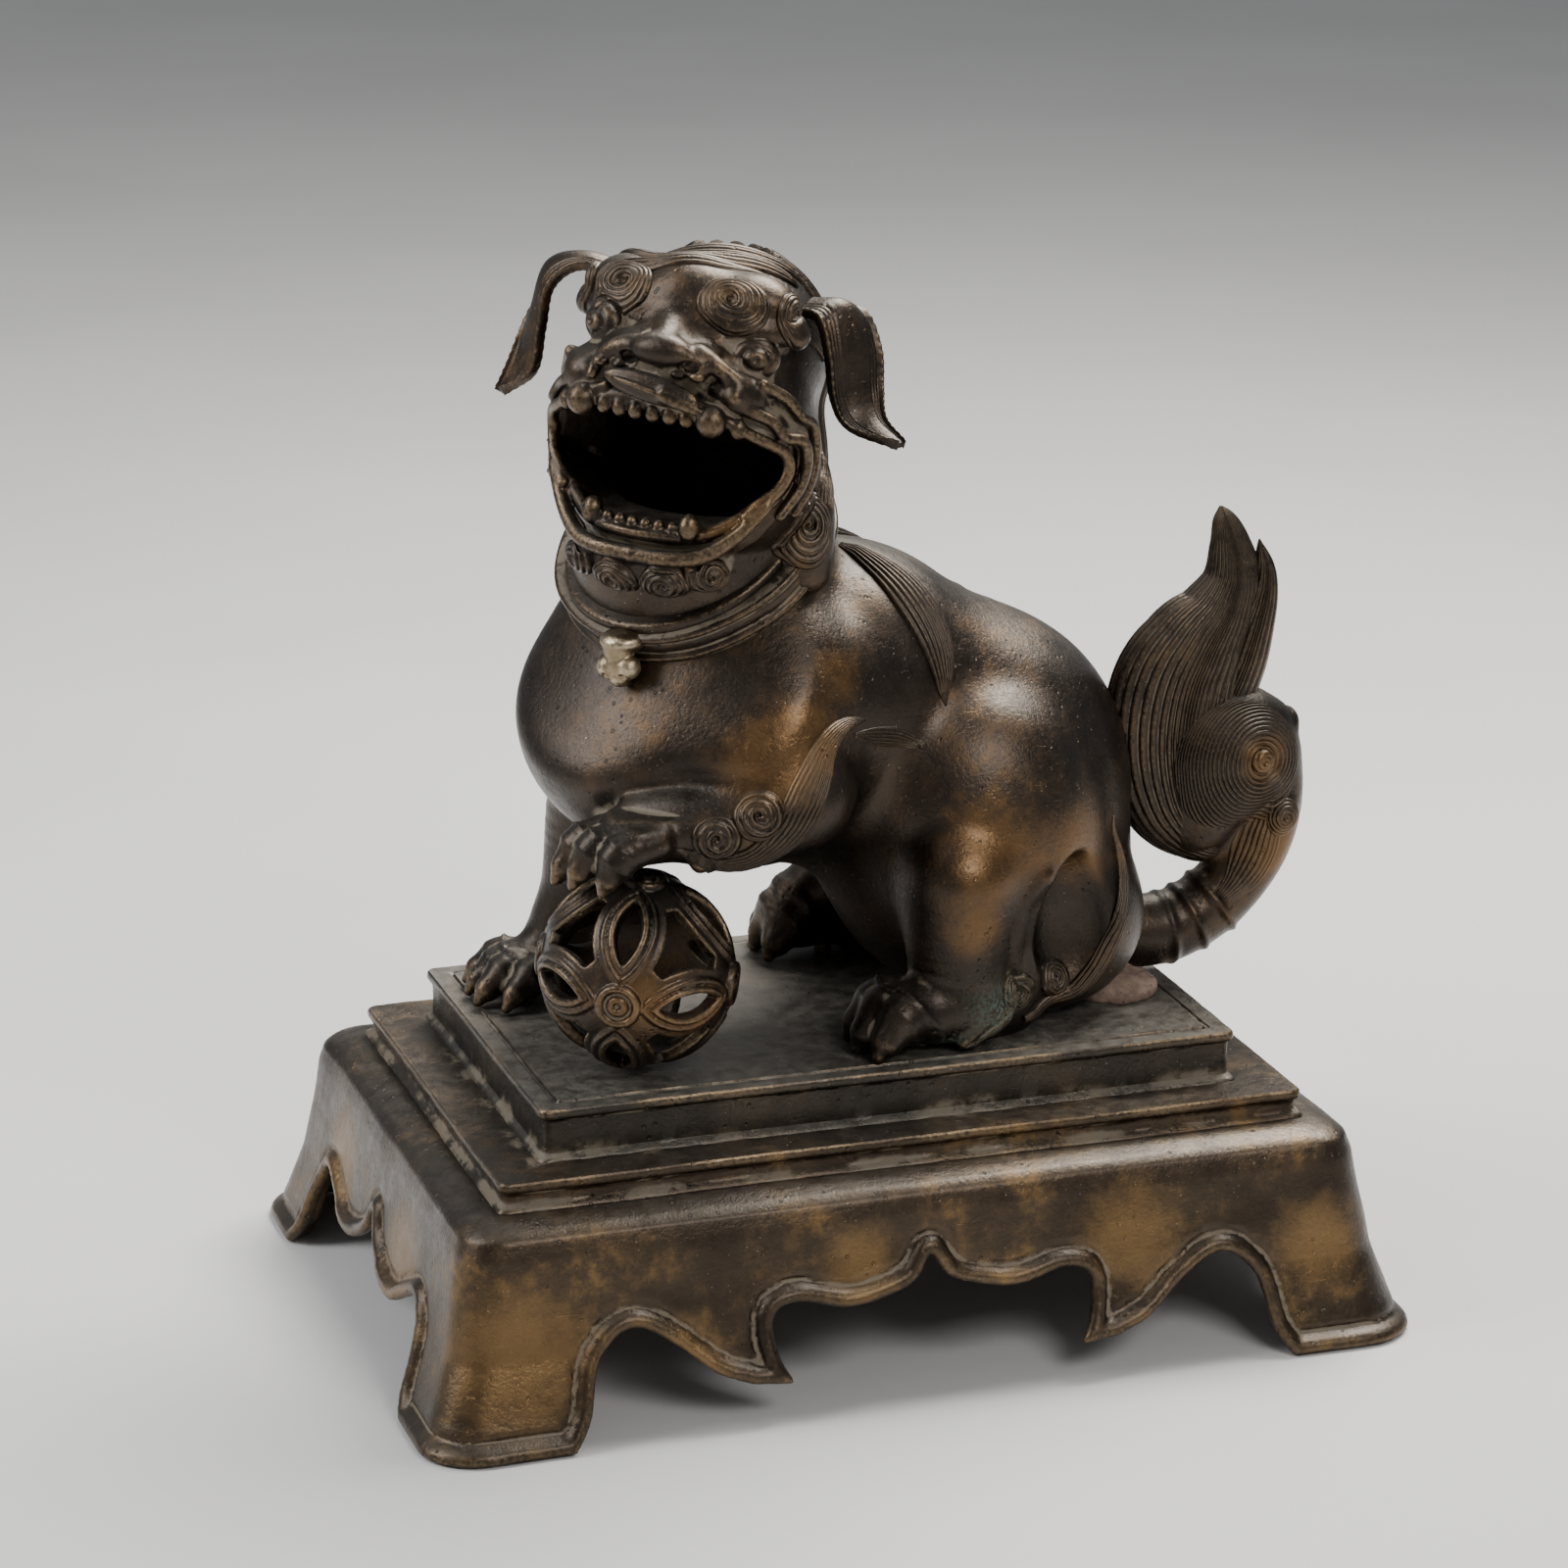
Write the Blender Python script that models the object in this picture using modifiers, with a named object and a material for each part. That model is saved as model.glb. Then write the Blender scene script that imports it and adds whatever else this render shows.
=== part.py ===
"""Cast bronze guardian lion with one paw on an openwork ball, on a stepped plinth with a flared apron.

Metres, +Z up. The origin is on the ground under the plinth's centre. The lion faces -X, its left side
is towards -Y, and its head is turned towards its left.
"""

import math

import bmesh
import bpy
from mathutils import Euler, Matrix, Vector

MM = 0.001
GAP = 0.3  # clearance between touching castings; all the lengths below are in millimetres

# Plinth: half lengths along X and Y, and heights above the ground
UPPER_HALF = (99.5, 61.1)
LOWER_HALF = (114.1, 74.0)
TOP_Z = 81.0
LOWER_TOP_Z = 66.9
APRON_TOP_Z = 59.3
WALL = 4.0
LEDGE = 7.0  # how far each tier reaches in under the one above
RIM = 0.9  # each step's wall stands in this far under its rim
RIM_HEIGHT = 2.6
RIM_BEVEL = 0.6
STEP_CORNER = 2.5
APRON_WALL = WALL + 0.6
# Apron's outer face: distance out from the lower step, and height
APRON_FACE = [(3.0, 59.0), (8.0, 58.2), (11.8, 55.6), (13.4, 51.0), (15.6, 38.0),
              (18.2, 24.0), (22.9, 10.0), (25.6, 4.0), (28.1, 0.0)]
CORNER_RADIUS = 9.0
CORNER_STEPS = 4

# Lion
HEAD_CENTRE = (-32.0, -6.0, 270.0)
HEAD_TURN = math.radians(46)
HEAD_ROLL = math.radians(4)
NECK_CENTRE = (-37.5, -2.0, 216.5)
NECK_TURN = math.radians(37)
NECK_TILT = math.radians(35)
NECK_RADIUS = 36.0
COLLAR_HEIGHT = 7.0
COLLAR_DEPTH = 3.6
COLLAR_STEPS = 24
COLLAR_BORE = NECK_RADIUS - 1.5
BELL_STAND_OFF = 7.5
BELL_RAISED = 5.0
CASTING_WALL = 5.0

EAR_THICKNESS = 2.6

BALL_CENTRE = (-65.0, -36.0, 109.2)
BALL_RADIUS = 27.5
BALL_WALL = 3.5
LENS_HALF = (4.6, 1.7)  # a lens-shaped window's half length and width at the near end of its cutter
CORNER_REACH = 2.6  # from the middle of a three-sided window to its corners, at the same place
TAIL_Y = -8.0
FOOT_PINS = [(14.0, -42.0), (14.0, 42.0), (-80.0, 32.0)]
PIN_RADIUS = 2.5
PIN_HEAD_RADIUS = 5.0
PIN_HEAD_HEIGHT = 3.4
PIN_NAMES = ("hind_left_foot_pin", "hind_right_foot_pin", "fore_right_foot_pin")
PIN_TOP_Z = 90.0

BRONZE_DARK = (0.060, 0.042, 0.030)
BRONZE_WARM = (0.120, 0.068, 0.034)
BRASS_WORN = (0.300, 0.190, 0.085)
CLAY = (0.330, 0.240, 0.190)


def clear_scene():
    for old in list(bpy.data.objects):
        bpy.data.objects.remove(old, do_unlink=True)


clear_scene()
statue = bpy.data.collections.new("foo_dog_statue")
cutters = bpy.data.collections.new("cutters")
bpy.context.scene.collection.children.link(statue)
bpy.context.scene.collection.children.link(cutters)


def bronze(name, colour, roughness=0.42, metallic=1.0):
    material = bpy.data.materials.new(name)
    material.use_nodes = True
    shader = material.node_tree.nodes["Principled BSDF"]
    shader.inputs["Base Color"].default_value = (*colour, 1.0)
    shader.inputs["Roughness"].default_value = roughness
    shader.inputs["Metallic"].default_value = metallic
    return material


# ---------------------------------------------------------------- making and cutting meshes

def add_object(name, mesh, collection):
    made = bpy.data.objects.new(name, mesh)
    collection.objects.link(made)
    if collection is cutters:
        made.hide_render = True
        made.display_type = "WIRE"
    return made


def mesh_from(bm, name):
    bmesh.ops.recalc_face_normals(bm, faces=bm.faces)
    mesh = bpy.data.meshes.new(name)
    bm.to_mesh(mesh)
    bm.free()
    return mesh


def baked(source, name, collection):
    """A plain mesh object of what source looks like with its modifiers; source is removed."""
    bpy.context.view_layer.update()
    graph = bpy.context.evaluated_depsgraph_get()
    mesh = bpy.data.meshes.new_from_object(source.evaluated_get(graph))
    mesh.transform(source.matrix_world)
    bpy.data.objects.remove(source, do_unlink=True)
    bm = bmesh.new()
    bm.from_mesh(mesh)
    bmesh.ops.remove_doubles(bm, verts=bm.verts, dist=1e-6)
    bm.to_mesh(mesh)
    bm.free()
    return add_object(name, mesh, collection)


def place(bm, verts, centre, rotation=None):
    if rotation is not None:
        bmesh.ops.rotate(bm, cent=(0, 0, 0), matrix=rotation, verts=verts)
    bmesh.ops.translate(bm, vec=Vector(centre) * MM, verts=verts)


def add_egg(bm, centre, radii, rotation=None, sides=20, grow=0.0):
    """An ellipsoid with its three radii along the axes of rotation."""
    made = bmesh.ops.create_uvsphere(bm, u_segments=sides, v_segments=sides // 2, radius=1.0)
    bmesh.ops.scale(bm, vec=[(r + grow) * MM for r in radii], verts=made["verts"])
    place(bm, made["verts"], centre, rotation)


def add_limb(bm, start, start_radius, end, end_radius, grow=0.0):
    """A tapered limb with round ends."""
    start, end = Vector(start), Vector(end)
    for centre, radius in ((start, start_radius), (end, end_radius)):
        add_egg(bm, centre, (radius,) * 3, sides=16, grow=grow)
    along = end - start
    made = bmesh.ops.create_cone(
        bm, cap_ends=True, segments=16, radius1=(start_radius + grow) * MM,
        radius2=(end_radius + grow) * MM, depth=along.length * MM)
    turn = along.to_track_quat("Z", "Y").to_matrix()
    place(bm, made["verts"], (start + end) / 2, turn)


def modelled(name, eggs, limbs, voxel, keep, collection, smooth=6, grow=0.0):
    """One soft body: the eggs and limbs fused, smoothed and thinned to a fraction of their faces."""
    bm = bmesh.new()
    for egg in eggs:
        add_egg(bm, *egg, grow=grow)
    for limb in limbs:
        add_limb(bm, *limb, grow=grow)
    source = add_object(name + "_cage", mesh_from(bm, name), collection)
    fuse = source.modifiers.new("Fuse", "REMESH")
    fuse.mode = "VOXEL"
    fuse.voxel_size = voxel * MM
    soften = source.modifiers.new("Soften", "SMOOTH")
    soften.factor = 0.5
    soften.iterations = smooth
    thin = source.modifiers.new("Thin", "DECIMATE")
    thin.ratio = keep
    return baked(source, name, collection)


def cut(target, *tools):
    for tool in tools:
        step = target.modifiers.new("Cut", "BOOLEAN")
        step.operation = "DIFFERENCE"
        step.solver = "EXACT"
        step.object = tool


def swollen(source, by=GAP):
    """A cutter a little larger all round than source."""
    bpy.context.view_layer.update()
    graph = bpy.context.evaluated_depsgraph_get()
    mesh = bpy.data.meshes.new_from_object(source.evaluated_get(graph))
    bm = bmesh.new()
    bm.from_mesh(mesh)
    bmesh.ops.remove_doubles(bm, verts=bm.verts, dist=1e-6)
    bm.normal_update()
    moves = [vert.normal * (by * MM * min(vert.calc_shell_factor(), 2.0)) for vert in bm.verts]
    for vert, move in zip(bm.verts, moves):
        vert.co += move
    bm.to_mesh(mesh)
    bm.free()
    return add_object(source.name + "_clearance", mesh, cutters)


def finish(target, material, sharp=50):
    """Bakes the modifiers, shades the body smooth and gives it its material."""
    name = target.name
    done = baked(target, name, statue)
    done.name = name
    done.data.name = name
    done.data.shade_smooth()
    done.data.set_sharp_from_angle(angle=math.radians(sharp))
    done.data.materials.clear()
    done.data.materials.append(material)
    return done


# ---------------------------------------------------------------- plinth

def rounded_outline(half_x, half_y, radius, z):
    points = []
    for turn, (side_x, side_y) in enumerate(((1, 1), (-1, 1), (-1, -1), (1, -1))):
        for step in range(CORNER_STEPS + 1):
            angle = math.pi / 2 * (turn + step / CORNER_STEPS)
            points.append((side_x * (half_x - radius) + radius * math.cos(angle),
                           side_y * (half_y - radius) + radius * math.sin(angle), z))
    return points


def lofted(name, sections, ring, collection):
    """Rounded rectangles joined in order: as a closed ring, or with its first and last ones filled."""
    bm = bmesh.new()
    rows = [[bm.verts.new(Vector(p) * MM) for p in rounded_outline(*s)] for s in sections]
    count = len(rows[0])
    for first, second in zip(rows, rows[1:] + (rows[:1] if ring else [])):
        for i in range(count):
            j = (i + 1) % count
            bm.faces.new((first[i], first[j], second[j], second[i]))
    if not ring:
        bm.faces.new(rows[0])
        bm.faces.new(rows[-1])
    return add_object(name, mesh_from(bm, name), collection)


def apron_sections(offset):
    """The apron's face as rounded rectangles, top to bottom, moved in by offset."""
    sections = []
    for out, z in APRON_FACE:
        radius = CORNER_RADIUS + 0.25 * out - offset / 2
        sections.append((LOWER_HALF[0] + out - offset, LOWER_HALF[1] + out - offset, radius, z))
    return sections


def outline_cutter(name, points, depth, along_y):
    """A flat outline in X (or Y) and Z, extruded right through the plinth."""
    curve = bpy.data.curves.new(name, "CURVE")
    curve.dimensions = "2D"
    curve.fill_mode = "BOTH"
    curve.extrude = depth * MM
    spline = curve.splines.new("POLY")
    spline.points.add(len(points) - 1)
    for point, (across, z) in zip(spline.points, points):
        point.co = (across * MM, z * MM, 0.0, 1.0)
    spline.use_cyclic_u = True
    source = add_object(name + "_curve", curve, cutters)
    source.rotation_euler = (math.pi / 2, 0, 0 if along_y else math.pi / 2)
    return baked(source, name, cutters)


def between(t, before, start, end, after):
    """A Catmull-Rom curve's value at t from start to end."""
    slope = end - before
    bend = 2 * before - 5 * start + 4 * end - after
    twist = 3 * start - before - 3 * end + after
    return 0.5 * (2 * start + slope * t + bend * t ** 2 + twist * t ** 3)


def smooth_edge(corners, steps=2):
    """Points along a soft curve through corners, which are (across, z)."""
    ends = [corners[0]] + corners + [corners[-1]]
    points = []
    for a, b, c, d in zip(ends, ends[1:], ends[2:], ends[3:]):
        for i in range(steps):
            points.append(tuple(between(i / steps, *heights) for heights in zip(a, b, c, d)))
    points.append(corners[-1])
    return points


# Half of the apron's lower edge on a long side, from a foot to the spur and on to the middle
LONG_FOOT_ARCH = [(103.0, -2.0), (96.5, 8.0), (93.0, 22.0), (84.0, 29.5), (74.0, 25.0),
                  (62.0, 15.5), (52.0, 11.5), (40.0, 10.3)]
LONG_MIDDLE = [(40.0, 10.3), (44.0, 18.0), (44.5, 28.0), (37.5, 30.8), (24.0, 27.8),
               (11.0, 29.8), (4.0, 33.0), (0.0, 39.0)]
# The same on a short side, which has no spur
SHORT_EDGE = [(67.0, -2.0), (60.0, 6.0), (57.0, 18.0), (51.0, 27.5), (42.0, 25.0),
              (30.0, 19.5), (18.0, 19.5), (8.0, 23.5), (3.0, 27.5), (0.0, 33.0)]


def mirrored_outline(half):
    return half + [(-across, z) for across, z in reversed(half[:-1])]


def make_plinth():
    """The flared apron, and the two steps that stand on it, each a separate open-bottomed casting."""
    lower_x, lower_y = LOWER_HALF
    upper_x, upper_y = UPPER_HALF
    flat = APRON_TOP_Z - GAP
    hole = (lower_x - LEDGE, lower_y - LEDGE, CORNER_RADIUS)
    outer = apron_sections(0.0)
    inner = list(reversed(apron_sections(APRON_WALL)[2:]))
    apron = lofted("plinth_apron", [(*hole, flat), *outer, *inner, (*hole, flat - WALL)], True, statue)
    long_edge = smooth_edge(LONG_FOOT_ARCH)[:-1] + smooth_edge(LONG_MIDDLE)
    reach = 2 * lower_x
    cut(apron,
        outline_cutter("long_arches", mirrored_outline(long_edge), reach, True),
        outline_cutter("short_arches", mirrored_outline(smooth_edge(SHORT_EDGE)), reach, False))
    finish(apron, BRONZE_SKIN)

    shelf = (upper_x - LEDGE, upper_y - LEDGE, STEP_CORNER)
    lower = step_wall(lower_x, lower_y, APRON_TOP_Z, LOWER_TOP_Z)
    lower += [(*shelf, LOWER_TOP_Z), (*shelf, LOWER_TOP_Z - WALL)]
    lower += step_inside(lower_x, lower_y, APRON_TOP_Z, LOWER_TOP_Z)
    finish(lofted("plinth_lower_step", lower, True, statue), BRONZE_SKIN, 35)

    foot_z = LOWER_TOP_Z + GAP
    table = step_inside(upper_x, upper_y, foot_z, TOP_Z) + step_wall(upper_x, upper_y, foot_z, TOP_Z)
    top = lofted("plinth_upper_step", table, False, statue)
    for x, y in FOOT_PINS:
        cut(top, rod("pin_hole", (x, y, TOP_Z), PIN_RADIUS + GAP, 3 * WALL))
    finish(top, BRONZE_SKIN, 35)


def step_wall(half_x, half_y, foot_z, top_z):
    """The outside of a step, from its foot to the bevel round its top."""
    profile = [(RIM, foot_z), (RIM, top_z - RIM_HEIGHT - RIM_BEVEL), (0.0, top_z - RIM_HEIGHT),
               (0.0, top_z - RIM_BEVEL), (RIM_BEVEL, top_z)]
    return [(half_x - inset, half_y - inset, STEP_CORNER, z) for inset, z in profile]


def step_inside(half_x, half_y, foot_z, top_z):
    """The inside of a step, from under its top plate to its foot."""
    return [(half_x - WALL, half_y - WALL, STEP_CORNER, z) for z in (top_z - WALL, foot_z)]


def rod(name, centre, radius, length):
    bm = bmesh.new()
    made = bmesh.ops.create_cone(bm, cap_ends=True, segments=16, radius1=radius * MM,
                                 radius2=radius * MM, depth=length * MM)
    place(bm, made["verts"], centre)
    return add_object(name, mesh_from(bm, name), cutters)


def turned(name, profile, collection, steps=16):
    """A closed profile of (radius, z) turned about Z, listed down its outer side."""
    mesh = bpy.data.meshes.new(name)
    closed = profile[0][0] > 0 or profile[-1][0] > 0
    edges = [(i, i + 1) for i in range(len(profile) - 1)]
    if closed:
        edges.append((len(profile) - 1, 0))
    mesh.from_pydata([(r * MM, 0.0, z * MM) for r, z in profile], edges, [])
    made = add_object(name, mesh, collection)
    turn = made.modifiers.new("Turn", "SCREW")
    turn.steps = steps
    turn.render_steps = steps
    turn.use_merge_vertices = True
    turn.merge_threshold = 1e-5
    return made


def make_foot_pins():
    """Tangs under three feet, peened over under the plinth's top plate."""
    under = TOP_Z - WALL - GAP
    chamfer = 0.5
    profile = [(0, PIN_TOP_Z), (PIN_RADIUS - chamfer, PIN_TOP_Z), (PIN_RADIUS, PIN_TOP_Z - chamfer),
               (PIN_RADIUS, under), (PIN_HEAD_RADIUS, under),
               (PIN_HEAD_RADIUS - chamfer, under - 0.6 * PIN_HEAD_HEIGHT),
               (0.4 * PIN_HEAD_RADIUS, under - PIN_HEAD_HEIGHT), (0, under - PIN_HEAD_HEIGHT)]
    for name, (x, y) in zip(PIN_NAMES, FOOT_PINS):
        pin = turned(name, profile, statue)
        pin.location = (x * MM, y * MM, 0)
        finish(pin, BRASS_EDGE)


# ---------------------------------------------------------------- lion

HEAD_FRAME = Matrix((
    (-math.cos(HEAD_TURN), math.sin(HEAD_TURN), 0),
    (-math.sin(HEAD_TURN), -math.cos(HEAD_TURN), 0),
    (0, 0, 1))) @ Matrix.Rotation(-HEAD_ROLL, 3, "X")


def on_head(forward, left, up):
    return Vector(HEAD_CENTRE) + HEAD_FRAME @ Vector((forward, left, up))


def head_egg(place_on_head, radii):
    return (on_head(*place_on_head), radii, HEAD_FRAME)


def both_sides(items):
    """Each (place, radii) again on the other side of the head."""
    return [head_egg((f, side * s, u), radii) for (f, s, u), radii in items for side in (1, -1)]


NECK_FRAME = Matrix.Rotation(NECK_TURN, 3, "Z") @ Matrix.Rotation(-NECK_TILT, 3, "Y")
NECK_AXIS = NECK_FRAME @ Vector((0, 0, 1))


def neck_block(name, above):
    """A block that fills everything above (or below) the plane of the collar."""
    height = HEAD_CENTRE[2] - TOP_Z
    shift = height / 2 - COLLAR_HEIGHT / 3 if above else -(height + GAP) / 2
    radius = NECK_RADIUS + 2 * COLLAR_HEIGHT if above else height
    bm = bmesh.new()
    made = bmesh.ops.create_cone(bm, cap_ends=True, segments=24, radius1=radius * MM,
                                 radius2=radius * MM, depth=height * MM)
    place(bm, made["verts"], Vector(NECK_CENTRE) + NECK_AXIS * shift, NECK_FRAME)
    return add_object(name, mesh_from(bm, name), cutters)


def turned_on_neck(name, profile, collection, steps):
    made = turned(name, profile, collection, steps)
    made.matrix_world = Matrix.Translation(Vector(NECK_CENTRE) * MM) @ NECK_FRAME.to_4x4()
    return baked(made, name, collection)


TRUNK = [((-44, 0, 170), (42, 41, 39)), ((-2, 0, 169), (50, 40, 45)), ((42, 0, 140), (46, 42, 51)),
         ((48, 0, 112), (38, 36, 29)), ((-30, -30, 172), (29, 15, 33)), ((-42, 29, 166), (30, 15, 38)),
         ((40, -35, 134), (31, 17, 38)), ((40, 35, 134), (31, 17, 38)), ((56, -26, 108), (28, 22, 26)),
         ((56, 26, 108), (28, 22, 26))]
THROAT = ((-36, 0, 196), NECK_RADIUS - 1, (-39, -5, 236), NECK_RADIUS - 3)
NECK_STUMP = ((-37, 0, 190), NECK_RADIUS - 1, NECK_CENTRE, COLLAR_BORE)


def make_body():
    eggs = [(centre, radii) for centre, radii in TRUNK]
    body = modelled("lion_body", eggs, [NECK_STUMP], 4.5, 0.13, statue)
    core_eggs = eggs[:4]
    core = modelled("body_core", core_eggs, [NECK_STUMP], 6.0, 0.20, cutters, grow=-CASTING_WALL - 1)
    cut(body, core, neck_block("above_collar", True), collar_groove())
    return body


def collar_groove():
    reach = NECK_RADIUS + COLLAR_DEPTH + GAP
    half = COLLAR_HEIGHT / 2 + GAP
    profile = [(reach, half), (reach, -half), (COLLAR_BORE - GAP, -half),
               (COLLAR_BORE - GAP, half)]
    return turned_on_neck("collar_groove", profile, cutters, COLLAR_STEPS)


def make_collar():
    """A flat band with a wire along each edge."""
    half = COLLAR_HEIGHT / 2
    outer = NECK_RADIUS + COLLAR_DEPTH
    band = outer - 1.0
    wire = [(outer - 0.8, half), (outer, half - 0.8), (outer, half - 1.8), (band, half - 2.3)]
    profile = wire + [(radius, -z) for radius, z in reversed(wire)]
    profile += [(COLLAR_BORE, -half), (COLLAR_BORE, half)]
    return finish(turned_on_neck("neck_collar", profile, statue, COLLAR_STEPS), BRONZE_WORN)


def make_bell():
    """Three small balls under a cap, hanging in front of the collar."""
    front = NECK_FRAME @ Vector((-1, 0, 0))
    down = Vector((0, 0, -1))
    side = front.cross(down).normalized()
    collar_front = Vector(NECK_CENTRE) + front * (NECK_RADIUS + COLLAR_DEPTH)
    hang = collar_front + front * BELL_STAND_OFF - down * BELL_RAISED
    eggs = [(hang, (4.6, 4.6, 4.6)), (hang + down * 4.0 + side * 3.2, (3.6, 3.6, 3.6)),
            (hang + down * 4.6 - side * 3.0, (3.6, 3.6, 3.6)), (hang - down * 4.0, (4.4, 4.4, 2.6))]
    return modelled("collar_bell", eggs, [], 0.9, 0.10, statue, smooth=1)


# Head: place as forward, left and up from its centre, and radii
SKULL = [((2, 0, 0), (31, 30, 30)), ((14, 0, -4), (25, 29, 24)), ((24, 0, 4), (19, 22, 13)),
         ((23, 0, -37), (24, 27, 10)), ((35, 0, 9), (7, 14, 7)), ((38, 0, 0), (6, 13, 3)),
         ((4, 0, -30), (27, 31, 26))]
CHEEKS_AND_BROWS = [((16, 24, -22), (17, 9, 19)), ((20, 17, 18), (11, 13, 8)),
                    ((29, 22, -4), (10, 9, 7))]
MOUTH = [((34, 0, -21), (30, 28, 14)), ((6, 0, -20), (24, 24, 15)), ((46, 0, -21), (20, 31, 14))]
THROAT_TOP = ((2, 0, -18), (23, 22, 24))
THROAT_BORE = ((-33, -4, 252), 25, (-37, -1, 206), 28)


def make_head():
    """A hollow head, open at the mouth and down the throat."""
    eggs = [head_egg(*egg) for egg in SKULL] + both_sides(CHEEKS_AND_BROWS)
    head = modelled("lion_head", eggs, [THROAT], 3.6, 0.17, statue, smooth=4)
    mouth = modelled("mouth_core", [head_egg(*egg) for egg in MOUTH], [], 3.6, 0.2, cutters)
    throat = modelled("throat_core", [head_egg(*THROAT_TOP)], [THROAT_BORE], 5.0, 0.2, cutters)
    cut(head, mouth, throat, neck_block("below_collar", False), collar_groove())
    return head


def ear_sheet(name, rows):
    """A thin leaf from rows of points, each row running across the ear."""
    bm = bmesh.new()
    grid = [[bm.verts.new(Vector(p) * MM) for p in row] for row in rows]
    for first, second in zip(grid, grid[1:]):
        for a, b, c, d in zip(first, first[1:], second[1:], second):
            bm.faces.new((a, b, c, d))
    made = add_object(name, mesh_from(bm, name), statue)
    thick = made.modifiers.new("Thick", "SOLIDIFY")
    thick.thickness = EAR_THICKNESS * MM
    thick.offset = 0.0
    soft = made.modifiers.new("Soft", "SUBSURF")
    soft.levels = 1
    soft.render_levels = 1
    return made


# Across each ear from its front rim over the bowed back to its rear rim, in head coordinates
EAR_ROWS = [((4, 25, 14), (-3, 26, 17), (-11, 25, 11)),
            ((6, 34, 17), (-4, 36, 18), (-13, 32, 8)),
            ((9, 42, 8), (-3, 43, 6), (-15, 36, -4)),
            ((10, 45, -2), (-1, 46, -6), (-12, 39, -14)),
            ((10, 51, -10), (2, 51, -14), (-5, 47, -20)),
            ((8, 58, -17), (6, 58, -18), (4, 57, -19))]


def make_ear(name, side):
    rows = [[on_head(f, side * s, u) for f, s, u in row] for row in EAR_ROWS]
    return ear_sheet(name, rows)


def toes(tips, knuckle_back, radius):
    """Stubby toes, each from a knuckle to its tip."""
    return [(Vector(tip) + Vector(knuckle_back), radius, tip, radius * 0.85) for tip in tips]


def flattened(limbs, floor, name):
    """A leg whose sole is planed flat."""
    leg = modelled(name, [], limbs, 2.6, 0.13, statue, smooth=3)
    cut(leg, floor_block(name + "_floor", limbs[0][0], 100, floor))
    return leg


def floor_block(name, over, size, top_z):
    """A cube under a part, with its top at top_z."""
    bm = bmesh.new()
    made = bmesh.ops.create_cube(bm, size=size * MM)
    place(bm, made["verts"], (over[0], over[1], top_z - size / 2))
    return add_object(name, mesh_from(bm, name), cutters)


def make_hind_leg(name, side):
    limbs = [((24, side * 43, 126), 15.5, (25, side * 41, 98), 13.5),
             ((36, side * 39, 90), 9, (12, side * 42, 90), 9),
             ((40, side * 38, 100), 7, (44, side * 36, 88), 7)]
    limbs += toes([(0, side * 52, 86), (-2, side * 43, 86), (0, side * 34, 86)], (10, 0, 3), 5.2)
    return flattened(limbs, TOP_Z + GAP, name)


def make_right_foreleg():
    limbs = [((-53, 28, 152), 19, (-60, 31, 118), 11.5), ((-60, 31, 118), 11, (-67, 32, 98), 10),
             ((-66, 32, 92), 9, (-82, 32, 89), 8)]
    limbs += toes([(-91, 41, 86), (-94, 32, 86), (-91, 23, 86)], (9, 0, 3), 4.8)
    return flattened(limbs, TOP_Z + GAP, "foreleg_right")


def make_left_foreleg():
    limbs = [((-30, -35, 172), 18, (-24, -43, 154), 15), ((-24, -43, 154), 14.5, (-42, -46, 149), 12),
             ((-42, -46, 149), 11.5, (-58, -43, 149), 9.5), ((-58, -43, 149), 9.5, (-69, -40, 147), 9)]
    for y, drop in ((-52, 3), (-44, 0), (-35, 0), (-27, 3)):
        limbs.append(((-70, y + 2, 149 - drop), 5.2, (-80, y, 144 - drop), 5.0))
        limbs.append(((-80, y, 144 - drop), 5.0, (-88, y + 1, 134 - drop), 4.2))
    leg = modelled("foreleg_left", [], limbs, 2.6, 0.15, statue, smooth=3)
    bm = bmesh.new()
    add_egg(bm, BALL_CENTRE, (BALL_RADIUS + GAP,) * 3, sides=32)
    cut(leg, add_object("ball_seat", mesh_from(bm, "ball_seat"), cutters))
    return leg


# Tail: centre line and radius of the stalk, and the bulges of the plume, in X and Z
TAIL_STALK = [(84, 95, 10.5), (100, 95, 10.5), (112, 100, 10.5),
              (120, 108, 10.5), (126, 118, 11), (129, 130, 11)]
TAIL_PLUME = [((93, 158), (15, 24)), ((104, 150), (17, 22)), ((110, 166), (17, 21)), ((118, 182), (13, 17)),
              ((120, 196), (8, 13)), ((117, 206), (4.5, 10))]


def make_tail():
    limbs = [((ax, TAIL_Y, az), ar, (bx, TAIL_Y, bz), br)
             for (ax, az, ar), (bx, bz, br) in zip(TAIL_STALK, TAIL_STALK[1:])]
    stalk = modelled("tail_stalk", [], limbs, 3.2, 0.22, statue, smooth=3)
    plume_eggs = [((x, TAIL_Y, z), (rx, 9.5 if rx > 9 else 6.5, rz)) for (x, z), (rx, rz) in TAIL_PLUME]
    plume = modelled("tail_plume", plume_eggs, [], 2.8, 0.15, statue, smooth=3)
    curl_eggs = [((121, TAIL_Y - 3, 146), (19.5, 12, 18.5)), ((133, TAIL_Y - 2, 126), (8, 11, 8))]
    curl = modelled("tail_curl", curl_eggs, [], 2.8, 0.16, statue, smooth=3)
    return stalk, plume, curl


# ---------------------------------------------------------------- openwork ball

BALL_FRAME = Euler((math.radians(4), math.radians(6), math.radians(-28))).to_matrix()


def ball_direction(x, y, z):
    return BALL_FRAME @ Vector((x, y, z)).normalized()


WINDOW_REACH = (12.0, 38.0)  # a window's cutter widens between these distances from the ball's centre


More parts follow.
